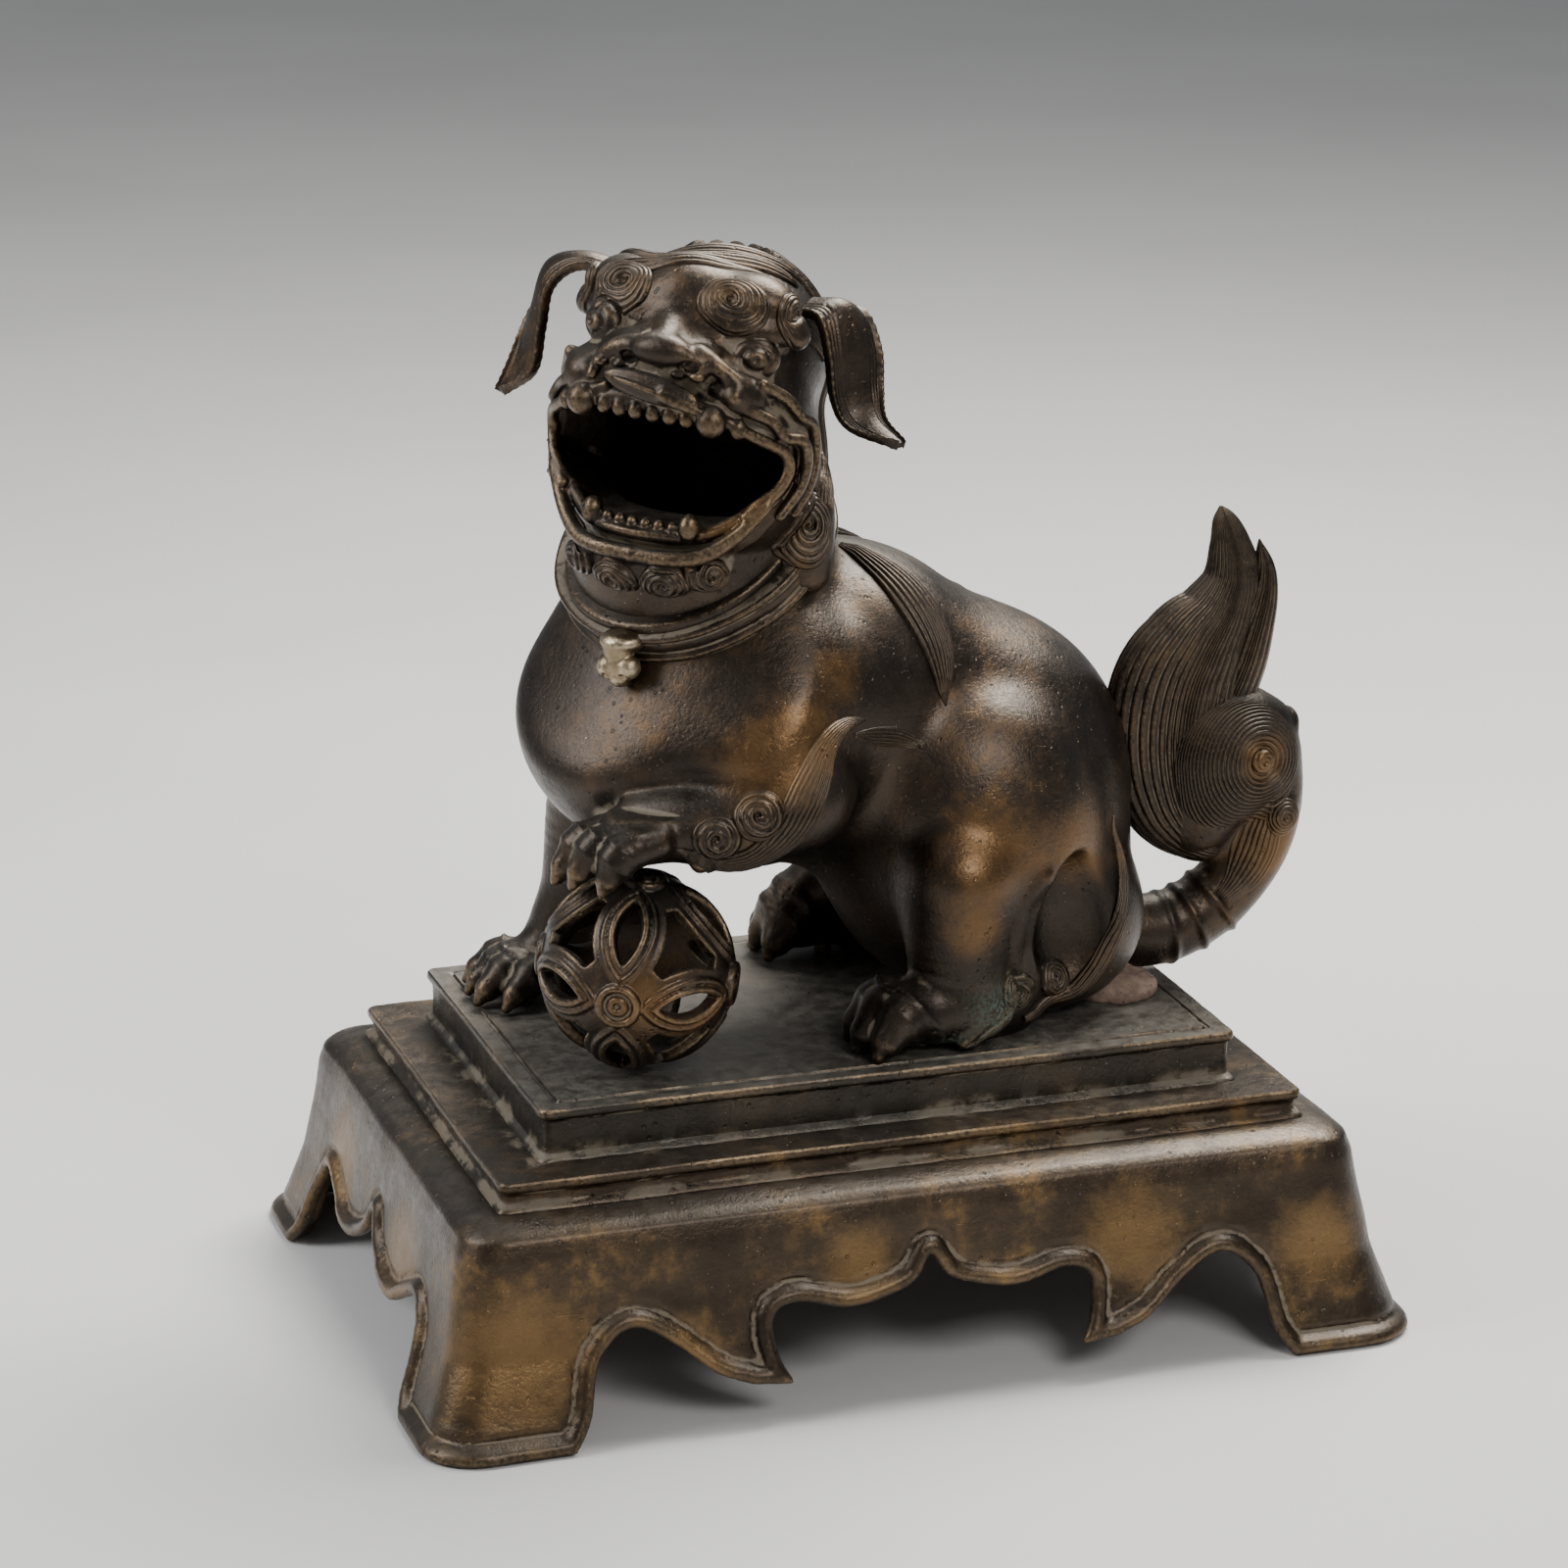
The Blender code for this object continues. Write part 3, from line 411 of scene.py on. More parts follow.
def body_clay():
    """Chest, trunk, rump and all four legs."""
    clay = Clay((-102, -66, 76), (98, 66, 244), 0.8)
    for centre, radii in (((-44, 0, 170), (42, 41, 39)), ((-2, 0, 169), (50, 40, 45)),
                          ((42, 0, 140), (46, 42, 51)), ((48, 0, 112), (38, 36, 29))):
        clay.egg(centre, radii, blend=14)
    clay.limbs([(-37, 0, 188, NECK_RADIUS - 1), (*(NECK_CENTRE - 2), NECK_RADIUS - 1.2)], 10)
    for side in (-1, 1):
        clay.egg((-26, side * 31, 176), (27, 17, 27), blend=12)
        clay.egg((36, side * 33, 136), (29, 20, 37), blend=10)
        clay.egg((56, side * 26, 108), (28, 22, 26), blend=8)
        clay.limbs([(24, side * 44, 128, 15.5), (24, side * 42, 108, 14), (26, side * 41, 92, 12)], 5)
        clay.limbs([(34, side * 39, 89, 9.5), (20, side * 42, 93, 9), (8, side * 43, 90, 8)], 4)
        clay.limbs([(44, side * 37, 100, 9), (42, side * 37, 88, 8)], 5)
    # Near left thigh's raised front edge, over a panel that lies lower
    clay.egg((56, -46, 112), (11, 7, 20), blend=4, carve=True)
    clay.limbs([(46, -50.5, 128, 2.0), (40, -50, 121, 1.8), (38.5, -49, 112, 1.8), (39.5, -47, 103, 1.6),
                (43, -45, 97, 1.2)], 2.5)
    # Raised left foreleg
    clay.limbs([(-30, -34, 174, 19), (-24, -43, 156, 15)], 10)
    clay.limbs([(-24, -44, 155, 14), (-40, -46, 149.5, 11.5), (-56, -43.5, 150, 9.2), (-67, -41, 149, 9)], 6)
    clay.egg((-52, -24, 140), (9, 10, 15), blend=6, carve=True)
    for y, drop, reach in ((-52, 0, -4.5), (-44.5, -0.5, 1), (-36, 0.5, 3), (-28, 3, 0)):
        clay.limbs([(-64, y + 1, 149 - drop, 4.6), (-72 - reach / 2, y, 148 - drop, 5.0)], 3)
        toe(clay, (-73 - reach / 2, y, 149 - drop), (-82 - reach, y + 0.5, 140.5 - drop), 4.9)
    clay.egg((-52, -51.5, 143), (3, 3, 3.5), blend=2)
    # Standing right foreleg
    clay.limbs([(-50, 26, 158, 20), (-58, 30, 130, 13.5), (-62, 31, 112, 10.8), (-67, 32, 98, 10)], 8)
    clay.limbs([(-66, 32, 92, 9), (-80, 32, 89, 8)], 4)
    for y, back in ((42, 2), (33, 0), (24, 0), (17, 6)):
        toe(clay, (-78 + back, (y + 32) / 2, 91), (-91 + back, y, 86), 4.9)
    clay.egg((-64, 41, 92), (6, 4.5, 5.5), blend=4)
    for side in (-1, 1):
        for y, back in ((53, 3), (45, 0), (36, 1)):
            toe(clay, (9 + back, side * (y + 42) / 2, 93.5), (-3 + back, side * y, 87), 6.4)
        clay.egg((36, side * 36, 85), (10, 8, 6), blend=3)
        clay.egg((20, side * 46, 92), (16, 9.5, 9.5), blend=4)
        clay.limbs([(34, side * 50, 91, 2.6), (27, side * 52.5, 88, 2.4), (22, side * 53, 84, 2.0)], 1.5)
    # Far hind foot's instep, with a hollow under it
    clay.limbs([(3, 42, 93, 8), (14, 41, 101, 10.5), (27, 40, 104, 12), (38, 38, 98, 11)], 4)
    clay.egg((18, 27, 88), (14.5, 9, 11), blend=2, carve=True)
    # Backbone's bumps
    for x, z in ((36, 192.5), (45.5, 187.5), (54, 181.5), (62, 175), (69.5, 167.5), (76, 159)):
        clay.egg((x + 0.9, 0, z + 1.6), (4.2, 4.4, 4.2), blend=1.6)
    clay.plane(TOP_Z - 0.5)
    # Chest trimmed so that the collar stands clear of it, and the throat opened
    cuts, (x, y, z) = clay.near(NECK_CENTRE - 62, NECK_CENTRE + 62)
    across, level, high = in_frame((x, y, z), NECK_CENTRE, NECK)
    spread = np.maximum(-3.6 - high, 0) * 1.9
    clay.join(cuts, (NECK_RADIUS + 1.2 + spread - np.hypot(across, level)) * 0.6, 4.0, True)
    clay.join(cuts, 7 - high, 1.0, True)
    clay.limbs([(-34, -4, 250, 22), (-36, -2, 215, 24), (-40, 0, 186, 26)], 3, True)
    return clay


def hollow_mouth(clay):
    """The open mouth: six-sided from the front and narrower towards the throat."""
    cuts, places = clay.near(HEAD_CENTRE - 62, HEAD_CENTRE + 62)
    front, aside, high = in_frame(places, HEAD_CENTRE, HEAD)
    aside = np.abs(aside)
    hollow = -high - 39.2
    cheeks = aside - np.interp(front, (0, 12, 25), (21, 26, 34)).astype(np.float32)
    for wall in (high + 9 + 0.12 * aside, 0.94 * high + 4.3 + 0.33 * aside, cheeks,
                 0.66 * aside - 0.75 * high - 40.8, -2 - front):
        hollow = -smooth_min(-hollow, -wall, 2.0)
    clay.join(cuts, hollow, 2.0, True)


# (distance ahead, radii, blend, carved) of the eye's ring, hollow, bead and pupil
EYE_LAYERS = [(0.0, (6.6, 5.6, 4.0), 1.0, False), (4.0, (4.9, 4.1, 2.1), 0.4, True),
              (2.3, (3.6, 3.1, 2.6), 0.2, False), (4.9, (1.1, 1.0, 0.8), 0.2, True)]


def head_clay():
    """Skull, muzzle, brows, cheeks, jaws, eyes and teeth, open at the mouth."""
    clay = Clay((-92, -62, 192), (16, 44, 303), 0.55)

    def egg(place, radii, blend=4.0, carve=False, both=True):
        for side in ((1, -1) if place[1] and both else (1,)):
            clay.egg(on_head(place[0], side * place[1], place[2]), radii, HEAD, blend, carve)

    def limbs(knots, blend=1.5, carve=False, both=True):
        for side in ((1, -1) if both else (1,)):
            clay.limbs(on_head_knots(knots, side), blend, carve)

    egg((1, 0, -1), (31, 29.5, 29.2), 8)
    egg((12, 0, -4), (26, 29, 23), 8)
    egg((4, 0, -30), (27, 31, 26), 8)
    clay.limbs([(-39, -5, 240, NECK_RADIUS - 4), (*NECK_CENTRE, NECK_RADIUS - 2)], 8)
    egg((18, 25, -22), (18, 10, 20), 6)
    egg((22, 0, -39), (24, 26, 9), 6)
    egg((24, 0, 3), (18, 21, 12), 7)
    # Brow lobes
    egg((17.5, 17, 18.5), (8.5, 12, 8), 5)
    limbs([(25, 8, 16.5, 3.2), (26, 15, 13.8, 3.8), (23.5, 22, 13.2, 4.0), (17, 29, 12, 3.4)], 2.5)
    egg((20, 0, 17), (10, 12, 11), 7)
    # Nose: a broad flat leaf, a little left of the middle, a ridge up to the brows and nostrils under its edge
    egg((33, 0, 5), (8, 12, 5), 4)
    egg((36.5, 3.5, 7.6), (8.0, 14, 3.6), 1.6, both=False)
    limbs([(27, 0, 14.5, 3.4), (33, 1.5, 12.6, 3.4), (38.5, 3, 10.2, 3.6)], 2.5, both=False)
    egg((41.5, 3.5, 8.6), (4.6, 8.5, 4.4), 1.4, both=False)
    limbs([(30, 21, 9.5, 2.2), (34, 15, 13, 2.0), (35, 9, 16, 1.4)], 1.6, carve=True, both=False)
    limbs([(32, -14, 11, 1.8), (35, -8, 14, 1.6), (35.5, -4, 16, 1.0)], 1.6, carve=True, both=False)
    limbs([(38, 13, 8, 2.8), (38, 18.5, 5.4, 2.4), (36.5, 23, 1.8, 1.8), (38, 23.5, -1.2, 1.4)], 1.0,
          both=False)
    limbs([(40, -5, 8.4, 2.8), (40, -10.5, 6.6, 2.5), (39.5, -15.5, 2.0, 1.9), (41, -16.5, -1.2, 1.4)], 1.0,
          both=False)
    for at in (-5.5, 12.5):
        egg((38.5, at, 5.2), (4.8, 4.6, 3.4), 1.4, both=False)
        egg((43.5, at, 5.4), (4.6, 2.5, 1.7), 0.8, carve=True, both=False)
    egg((31, 21, -3), (8, 8, 7), 4)
    hollow_mouth(clay)
    clay.limbs([(-34, -4, 244, 22), (-36, -2, 215, 24)], 3, True)
    # Eyes: a ring and a bead with a pupil
    for side, place in ((1, (26.5, 23.4, 6.4)), (-1, (30.0, -19.2, 10.2))):
        out = unit(HEAD @ np.array([0.84, side * 0.45, 0.16]))
        for ahead, radii, blend, carve in EYE_LAYERS:
            clay.egg(on_head(*place) + out * ahead, radii, facing(out), blend, carve)
    # Lips: the mouth's rim and two wavy bands round each corner
    limbs([(41, 12, -3.5, 1.6), (39, 22, -8, 1.7), (34, 29, -12.5, 1.6), (28, 34, -16.5, 1.6),
           (26, 34.8, -22, 1.6), (29, 32.5, -28, 1.6), (34, 27, -34, 1.6)], 0.8)
    limbs([(37, 18, 0, 1.9), (35, 26, -5, 1.8), (30, 31, -8.5, 1.8), (28, 34, -12.5, 1.6),
           (22, 36.3, -14.5, 1.8), (20, 37, -20, 1.7), (22, 36.3, -27, 1.7), (27, 33.5, -34, 1.5)], 0.8)
    limbs([(31, 28, 1, 1.8), (24, 32, -3.5, 1.8), (20, 34.5, -8.5, 1.7), (14.5, 35.5, -12, 1.7),
           (12.5, 35.8, -20, 1.6), (15, 35.8, -28, 1.5), (19, 34, -35, 1.2)], 1.0)
    # Upper lip's leaf, with a fold along it, and the moustache above
    leaf_turn = HEAD @ np.array(Matrix.Rotation(math.radians(-8), 3, "X"))
    clay.egg(on_head(44.2, 2.5, -1.4), (2.4, 14.0, 3.9), leaf_turn, 0.5)
    limbs([(45, 7, -2.0, 2.6), (44.5, 13, -4.0, 2.0), (43.0, 18.5, -6.6, 0.7)], 0.6, both=False)
    limbs([(46.6, -7, 0.4, 0.5), (46.9, 0, -0.6, 0.8), (46.6, 7, -2.2, 0.8), (45, 14, -4.2, 0.5)], 0.3,
          both=False)
    for at in (3.5, 8.5, 14):
        egg((40.5, at, 2.8), (2.6, 2.4, 1.5), 0.6)
    # Gums, teeth and the rolled lower lip
    limbs([(40.5, 0, -5.6, 2.4), (40.5, 10, -6, 2.4), (38.5, 19, -7.5, 2.6)], 1.0)
    for at in (2.5, 7.3, 12.0):
        egg((42.2 - at * 0.05, at, -8.2), (2.2, 2.2, 2.7), 0.4)
    egg((41, 18.8, -8.2), (4.1, 4.2, 4.4), 0.4)
    egg((37.5, 25, -10), (2.2, 2.2, 2.8), 0.5)
    limbs([(41.5, 0, -41, 2.2), (41, 9, -41, 2.2), (37.5, 17, -40, 2.0), (33, 24, -36, 1.8)], 0.8)
    for at in (1.9, 5.7, 9.6):
        egg((42.2 - at * 0.1, at, -38.6), (1.7, 1.7, 2.0), 0.3)
    egg((41, 14.2, -37.6), (2.9, 2.9, 3.9), 0.3)
    limbs([(45, 0, -46, 2.2), (44.6, 10, -45.8, 2.2), (41.5, 18, -44.6, 2.2), (36.5, 25, -39.5, 2.0),
           (31, 31.5, -31, 1.6)], 0.8)
    # Warts by the eyes
    for f, s, u, r in ((30, 14.5, 10.5, 1.6), (32.5, 15, 7, 1.3), (30.5, 17, 2.5, 1.4)):
        egg((f, s, u), (r, r, r), 0.6)
    # Chin for the beard, and the mane's pad where it lies over the collar
    egg((34, 0, -50.5), (10.5, 22, 6.8), 3)
    clay.limbs([(-9.5, -20, 239, 3.5), (-13.5, -25.5, 230, 7.2), (-16, -28.8, 221.5, 8.6),
                (-15.5, -29, 214, 7.0)], 2.5)
    return clay


# ---------------------------------------------------------------- lion's reliefs

def mirrored(knots):
    return [(x, -y, z, *rest) for x, y, z, *rest in knots]


def body_reliefs(clay):
    """Locks, curls and engraved hair on the trunk and legs."""
    made = []
    flame = [(2, -8, 215, 1.2), (9, -15, 210, 4.8), (16, -22, 204, 7.4), (20.5, -28, 196, 7.2),
             (22, -32, 188, 5.2), (22, -35, 181, 2.8), (22, -36.8, 174.5, 0.2)]
    haunch = [(73, -30, 137, 0.4), (74, -36, 128, 2.0), (72, -41, 118, 2.8), (69, -44, 108, 3.0),
              (65, -44, 99, 3.0), (59, -43, 92, 2.9), (51, -45, 87.5, 2.6), (43, -47, 85.5, 1.2)]
    fan = [(38, -48, 92, 1.0), (33, -51, 88, 2.6), (27, -53, 85, 2.2), (22, -54, 83.5, 0.3)]
    for side, turn in (("left", list), ("right", mirrored)):
        made.append(lock("shoulder_lock_" + side, clay, turn(flame), 9, 2.7, 0.75, 0.6))
        made.append(lock("haunch_strip_" + side, clay, turn(haunch), 5, 1.6, 0.6))
        made.append(lock("heel_fan_" + side, clay, turn(fan), 5, 1.4, 0.7))
        for centre, size in (((52.3, -43, 96), 5.6), ((39.2, -47.5, 95), 6.2)):
            spot = turn([(*centre, 0)])[0][:3]
            way = 1 if side == "left" else -1
            made.append(curl("heel_curl_%s_%d" % (side, size * 10), clay, spot, (size, size), (1, 0, 0.4),
                             size / 1.25, 2.6, way))
    elbow = [(-3, -44, 175.5, 0.3), (-11, -49, 175.5, 2.4), (-17.5, -53, 171.5, 4.0), (-22, -56, 164.5, 5.2),
             (-26, -57.5, 157, 5.8), (-31, -57, 150, 5.6), (-38, -55, 144.5, 4.8), (-46, -53.5, 142.5, 3.8),
             (-53, -52.5, 144.5, 2.2), (-59, -52, 147, 0.3)]
    made.append(lock("elbow_band", clay, elbow, 9, 1.5, 0.65))
    for name, centre, radii, turns, height in (("elbow_curl_upper", (-37.4, -57, 155.5), (7.4, 7.2), 3.4, 3.2),
                                               ("elbow_curl_lower", (-48.6, -55.5, 150.0), (7.0, 6.8), 3.1, 3.0)):
        made.append(curl(name, clay, centre, radii, (1, 0, 0.3), turns, height, 1, groove=0.9))
    strands = [(-7, -47, 172, 0.8), (0, -45, 170, 2.6), (8, -42, 168, 2.8), (15, -40, 165, 0.8)]
    made.append(lock("flank_strands", clay, strands, 6, 0.35, 0.5, 0.1))
    far_elbow = [(-28, 48, 172, 0.3), (-36, 48, 163, 2.6), (-42, 47, 152, 3.6), (-47, 44, 140, 3.4),
                 (-52, 42, 128, 2.6), (-57, 41, 117, 0.4)]
    made.append(lock("far_elbow_band", clay, far_elbow, 7, 1.5, 0.55))
    made.append(curl("far_elbow_curl", clay, (-52, 44, 146), (5.8, 5.6), (1, 0, 0.3), 4.5, 2.6, -1))
    made.append(lock("far_flank_strands", clay, mirrored(strands), 6, 0.35, 0.5, 0.1))
    return merged("body_reliefs", made)


def head_reliefs(clay):
    """Brow curls, crown hair, beard, jaw hair and the locks of the mane."""
    made = []

    def hair(name, knots, count, height=1.4, groove=0.5, both=True):
        for side in ((1, -1) if both else (1,)):
            made.append(lock(name + str(side), clay, on_head_knots(knots, side), count, height, groove))

    def knot(name, place, radii, across, turns, height, sweep, lean=(0, 0)):
        for side in ((1, -1) if place[1] else (1,)):
            spot = on_head(place[0], side * place[1], place[2])
            way = HEAD @ np.array([across[0], side * across[1], across[2]])
            made.append(curl(name + str(side), clay, spot, radii, way, turns, height, sweep * side,
                             lean=(lean[0], side * lean[1])))

    knot("brow_", (28, 16, 22), (10.4, 8.0), (0, 1, -0.1), 6.5, 2.3, 1, (1.0, -1.5))
    knot("brow_end_", (18, 28.5, 17.5), (7.6, 6.4), (-0.3, 0.6, -1), 5.0, 2.3, -1, (1.5, 0))
    for place, sweep in (((43, 9.0, -53), 1), ((42.5, -5.5, -53.5), -1), ((38.5, 20, -50), -1),
                         ((38.5, -17.5, -51), 1)):
        made.append(curl("beard", clay, on_head(*place), (7.4, 6.6), HEAD[:, 1], 4.2, 3.0, sweep,
                         lean=(0, -1.0), groove=0.8))
    made.append(curl("mane_comma", clay, (-17, -36, 227.5), (12.4, 9.0), (0.11, 0.33, 0.94), 6.0, 3.2, 1,
                     lean=(-2.4, 0.4), groove=0.95))
    hair("mane_tip", [(-4, 29.5, -24, 0.4), (-2, 31.5, -29, 2.4), (1, 33, -33, 3.6), (4, 34, -37, 3.0)], 6,
         1.4, 0.7, both=False)
    made.append(curl("mane_comma_far", clay, on_head(3, -34, -38), (11.0, 7.6), HEAD @ np.array((-0.5, 0, 1)),
                     5.4, 3.0, -1, lean=(5.0, 0)))
    knot("jaw_curl_", (19, 35, -26), (4.2, 3.6), (0, 0.2, -1), 3.0, 1.2, 1)
    hair("jaw_hair", [(25, 33, -30, 1.0), (28, 29, -36, 3.2), (29.5, 24, -42, 3.6), (29, 18, -47, 1.5)], 7,
         1.0)
    hair("cheek_hair", [(8, 35, -14, 0.5), (5, 35.5, -22, 2.6), (4, 35, -30, 2.4), (6, 35, -38, 0.6)], 5, 0.9)
    hair("ear_root_hair", [(14, 25, 19, 0.8), (7, 30, 16, 3.6), (0, 34, 11, 4.2), (-5, 35, 3, 2.2)], 7, 1.2)
    for name, back in (("crown_a", 6), ("crown_b", -2), ("crown_c", -10)):
        knots = [(17 + back, -24, 20, 0.5), (18 + back, -15, 26, 3.0), (15.5 + back, -4, 29, 4.0),
                 (10 + back, 7, 29, 3.8), (3 + back, 16, 25.5, 3.0), (-1 + back, 22, 21, 0.6)]
        hair(name, knots, 4, 1.2, 0.9, both=False)
    for i, angle in enumerate((-58, -35, -12, 12, 35, 58)):
        swing = math.radians(angle)
        reach = [(12, 25, 2.0), (27, 10, 4.6), (33, -10, 5.2), (35, -28, 5.0), (35, -42, 3.6), (33, -50, 0.4)]
        knots = [(-r * math.cos(swing), r * math.sin(swing), u, w) for r, u, w in reach]
        made.append(lock("nape_%d" % i, clay, on_head_knots(knots), 8, 2.0, 0.55))
    return merged("head_reliefs", made)


# Rows across each ear from its root to its tip, as places on the head: ahead, to the lion's left, up
LEFT_EAR = [((7, 25, 15), (0, 27, 18), (-7, 26, 12)),
            ((9, 32, 15), (0, 36, 18), (-8, 37, 14.5)),
            ((10, 36, 6), (2, 40, 8), (-7, 43.5, 6)),
            ((9, 38, -6), (3, 42, -4), (-5, 46, -4)),
            ((8, 43, -13), (4, 46.5, -11), (0, 50, -11)),
            ((6, 56.5, -15.5), (5, 57, -15.6), (4, 57.6, -15.5))]
RIGHT_EAR = [((6, -25, 15), (0, -27, 18), (-6, -26, 13)),
             ((8, -38, 18), (2, -40, 20.5), (-6, -38, 17)),
             ((8, -47, 11), (2, -51.5, 16), (-5, -51, 13)),
             ((8, -49, -1), (3, -55, 2), (-3, -58, 0)),
             ((8, -51, -13), (4, -57, -12), (1, -61, -11)),
             ((6, -61.5, -20.5), (5, -62.5, -21), (4, -63.5, -21))]


def ear(name, knots):
    """A thin drooping ear with a rolled, notched rim and a few lines of hair beside it."""
    fine = 16
    rows = np.array([[on_head(*place) for place in row] for row in knots])
    along = np.stack([spline(rows[:, i], fine) for i in range(3)], axis=1)
    sheet = np.stack([spline(row, fine * 2) for row in along])
    normal = unit(np.cross(np.gradient(sheet, axis=0), np.gradient(sheet, axis=1)))
    middle = sheet[len(sheet) // 2, len(sheet[0]) // 2] - HEAD_CENTRE
    if (normal[len(sheet) // 2, len(sheet[0]) // 2] * middle).sum() < 0:
        normal = -normal
    u = np.linspace(-1, 1, sheet.shape[1])[None, :]
    v = np.linspace(0, 1, sheet.shape[0])[:, None]
    rolled = np.exp(-((np.abs(u) - 0.93) / 0.09) ** 2)
    notches = 0.5 + 0.5 * np.sin(v * 150)
    hairs = np.where(np.abs(u) > 0.5, ridges(np.abs(u) * 9), 1.0)
    rise = 0.7 + 0.7 * rolled + 0.35 * rolled * notches - 0.45 * (1 - hairs) * (1 - rolled)
    top = sheet + normal * rise[..., None]
    under = sheet - normal * (0.7 + 0.6 * rolled + 0.3 * notches * rolled)[..., None]
    return closed_sheet(name, top, under, 0.8 * rolled * notches, 0.3 * (1 - hairs))


def collar():
    """A flat band with a wire along each edge, on the neck."""
    half, inner, around = 4.6, NECK_RADIUS - 3.0, 260
    across = np.linspace(-half, half, 36)
    lift = sum(1.3 * np.sqrt(np.clip(1 - ((across - wire) / 1.15) ** 2, 0, 1)) for wire in (-3.6, 3.4))
    lift = lift + 0.5 * np.sqrt(np.clip(1 - (across / 1.6) ** 2, 0, 1))
    theta = np.linspace(0, 2 * math.pi, around, endpoint=False)
    wobble = 0.14 * np.sin(3 * theta + 1) + 0.08 * np.sin(7 * theta)
    radius = (NECK_RADIUS + 2.0 + lift)[:, None] + 0.12 * np.sin(9 * theta)

    def ring(r, z):
        place = np.stack([r * np.cos(theta), r * np.sin(theta), np.broadcast_to(z, around)], axis=-1)
        return NECK_CENTRE + place @ NECK.T

    rows = [ring(inner, -half)] + [ring(r, z + wobble) for r, z in zip(radius, across)] + [ring(inner, half)]
    i = np.arange(around)
    last = (len(rows) - 1) * around
    close = np.stack([last + i, last + (i + 1) % around, (i + 1) % around, i], axis=-1)
    faces = np.concatenate([grid_faces(len(rows), around, ring=True), close])
    high = np.concatenate([[0], lift > 0.9, [0]]).repeat(around)
    low = np.concatenate([[1], lift < 0.25, [1]]).repeat(around)
    return solid("collar_band", np.concatenate(rows), faces, worn=0.5 * high, grime=0.75 * low)


def bell():
    """The worn cluster of beads that hangs at the front of the collar."""
    clay = Clay((-84, -40, 180), (-58, -14, 206), 0.35)
    front = NECK @ np.array([-1, 0, 0])
    hang = NECK_CENTRE + front * (NECK_RADIUS + 7.0) + np.array([0, 0, 2.0])
    side = unit(np.cross(front, np.array([0, 0, -1.0])))
    for along, drop, r in ((0, -1.0, 4.2), (3.0, 3.6, 3.5), (-3.0, 4.2, 3.6), (0.4, 6.4, 3.0),
                           (0.3, 3.0, 3.6)):
        clay.egg(hang + side * along - np.array([0, 0, drop]), (r, r, r), blend=0.7)
    clay.egg(hang - front * 2.5 + np.array([0, 0, 1.5]), (6.3, 6.3, 3.2), blend=1.0)
    clay.egg(hang + side * 3.2 + front * 3.2 - np.array([0, 0, 4.2]), (1.0, 1.0, 1.0), blend=0.4, carve=True)
    clay.egg(hang - side * 2.6 + front * 3.2 - np.array([0, 0, 4.6]), (0.8, 0.8, 1.2), blend=0.4, carve=True)
    return clay.cast("collar_bell_cluster")


# ---------------------------------------------------------------- tail

TAIL_Y = -8.0
# Knots of (x, z, radius), then of (x, z, half width, half thickness)
STALK = [(78, 96, 10.5), (90, 94.5, 10.5), (101, 95, 10.2), (112, 100, 10), (120.5, 107.5, 9.8),
         (127, 117, 9.8), (130.5, 128, 9.6), (131.5, 140, 8.5), (130, 152, 6.5)]
PLUME = [(119, 117, 4, 3), (111, 122, 10, 7), (103.5, 133, 17, 8.8), (101, 149, 21.0, 9.4),
         (103, 165, 21.5, 9.0), (108.5, 177, 18, 8.0), (114.5, 187, 12.5, 6.6), (117.5, 196, 9, 5.2),
         (116.5, 206, 6.0, 3.8), (114.6, 213, 3.4, 2.4), (113.6, 216.4, 0.6, 0.6)]
PLUME_FRONT = [(112, 150, 6, 4), (115, 160, 9, 6.5), (119.5, 171, 9, 7.0), (123, 181, 7.6, 6.4),
               (126, 190, 5.6, 5.0), (127, 198, 3.4, 3.4), (125.6, 206, 0.3, 0.3)]


def tail():
    """The stalk with its ringed root and lobe, the engraved curls on both sides, and the plume."""
    clay = Clay((66, -30, 80), (142, 14, 172), 0.75)
    clay.limbs([(x, TAIL_Y, z, r) for x, z, r in STALK], 3)
    line = spline([(x, TAIL_Y, z) for x, z, r in STALK], 6)
    for at in (11, 15, 19):
        clay.egg(line[at], (10.9, 10.9, 1.9), facing(unit(line[at + 1] - line[at - 1])), 1.4)
    clay.egg((115.5, TAIL_Y, 145), (23, 14.0, 20.5), blend=3)
    clay.egg((108, TAIL_Y, 128), (14, 9, 13), blend=6)
    clay.egg((130.5, TAIL_Y, 128), (8, 11.5, 8), blend=1.5)
    clay.egg((136, TAIL_Y, 152), (2.8, 5, 4.6), blend=1.0)
    stem = clay.cast("tail_stem")
    made = []
    for side in (-1, 1):
        y = TAIL_Y + side * 13
        made.append(curl("lobe", clay, (122.5, y, 145.5), (24.0, 22.5), (1, 0, 0), 0, 2.0, -side,
                         lean=(-9.0, 0.3), groove=0.7, pitch=1.45))
        made.append(curl("lobe_eye", clay, (122.5, y, 145.5), (4.0, 3.7), (1, 0, 0), 0, 2.4, side, pitch=1.9))
        made.append(curl("small_curl", clay, (131, y, 127.5), (6.4, 6.6), (1, 0, 0), 0, 1.8, side, pitch=1.25))
        hair = [(114.5, y, 107, 3.0), (119, y, 112, 6.4), (122.5, y, 119, 7.4), (124, y, 126, 6.0),
                (124.5, y, 131, 3.0)]
        made.append(lock("stalk_hair", clay, hair, 9, 0.6, 0.5, 0.5))
    flames = [plume(PLUME, 46), plume(PLUME_FRONT, 22)]
    return stem, merged("tail_curls", made), merged("tail_plume_flame", flames)


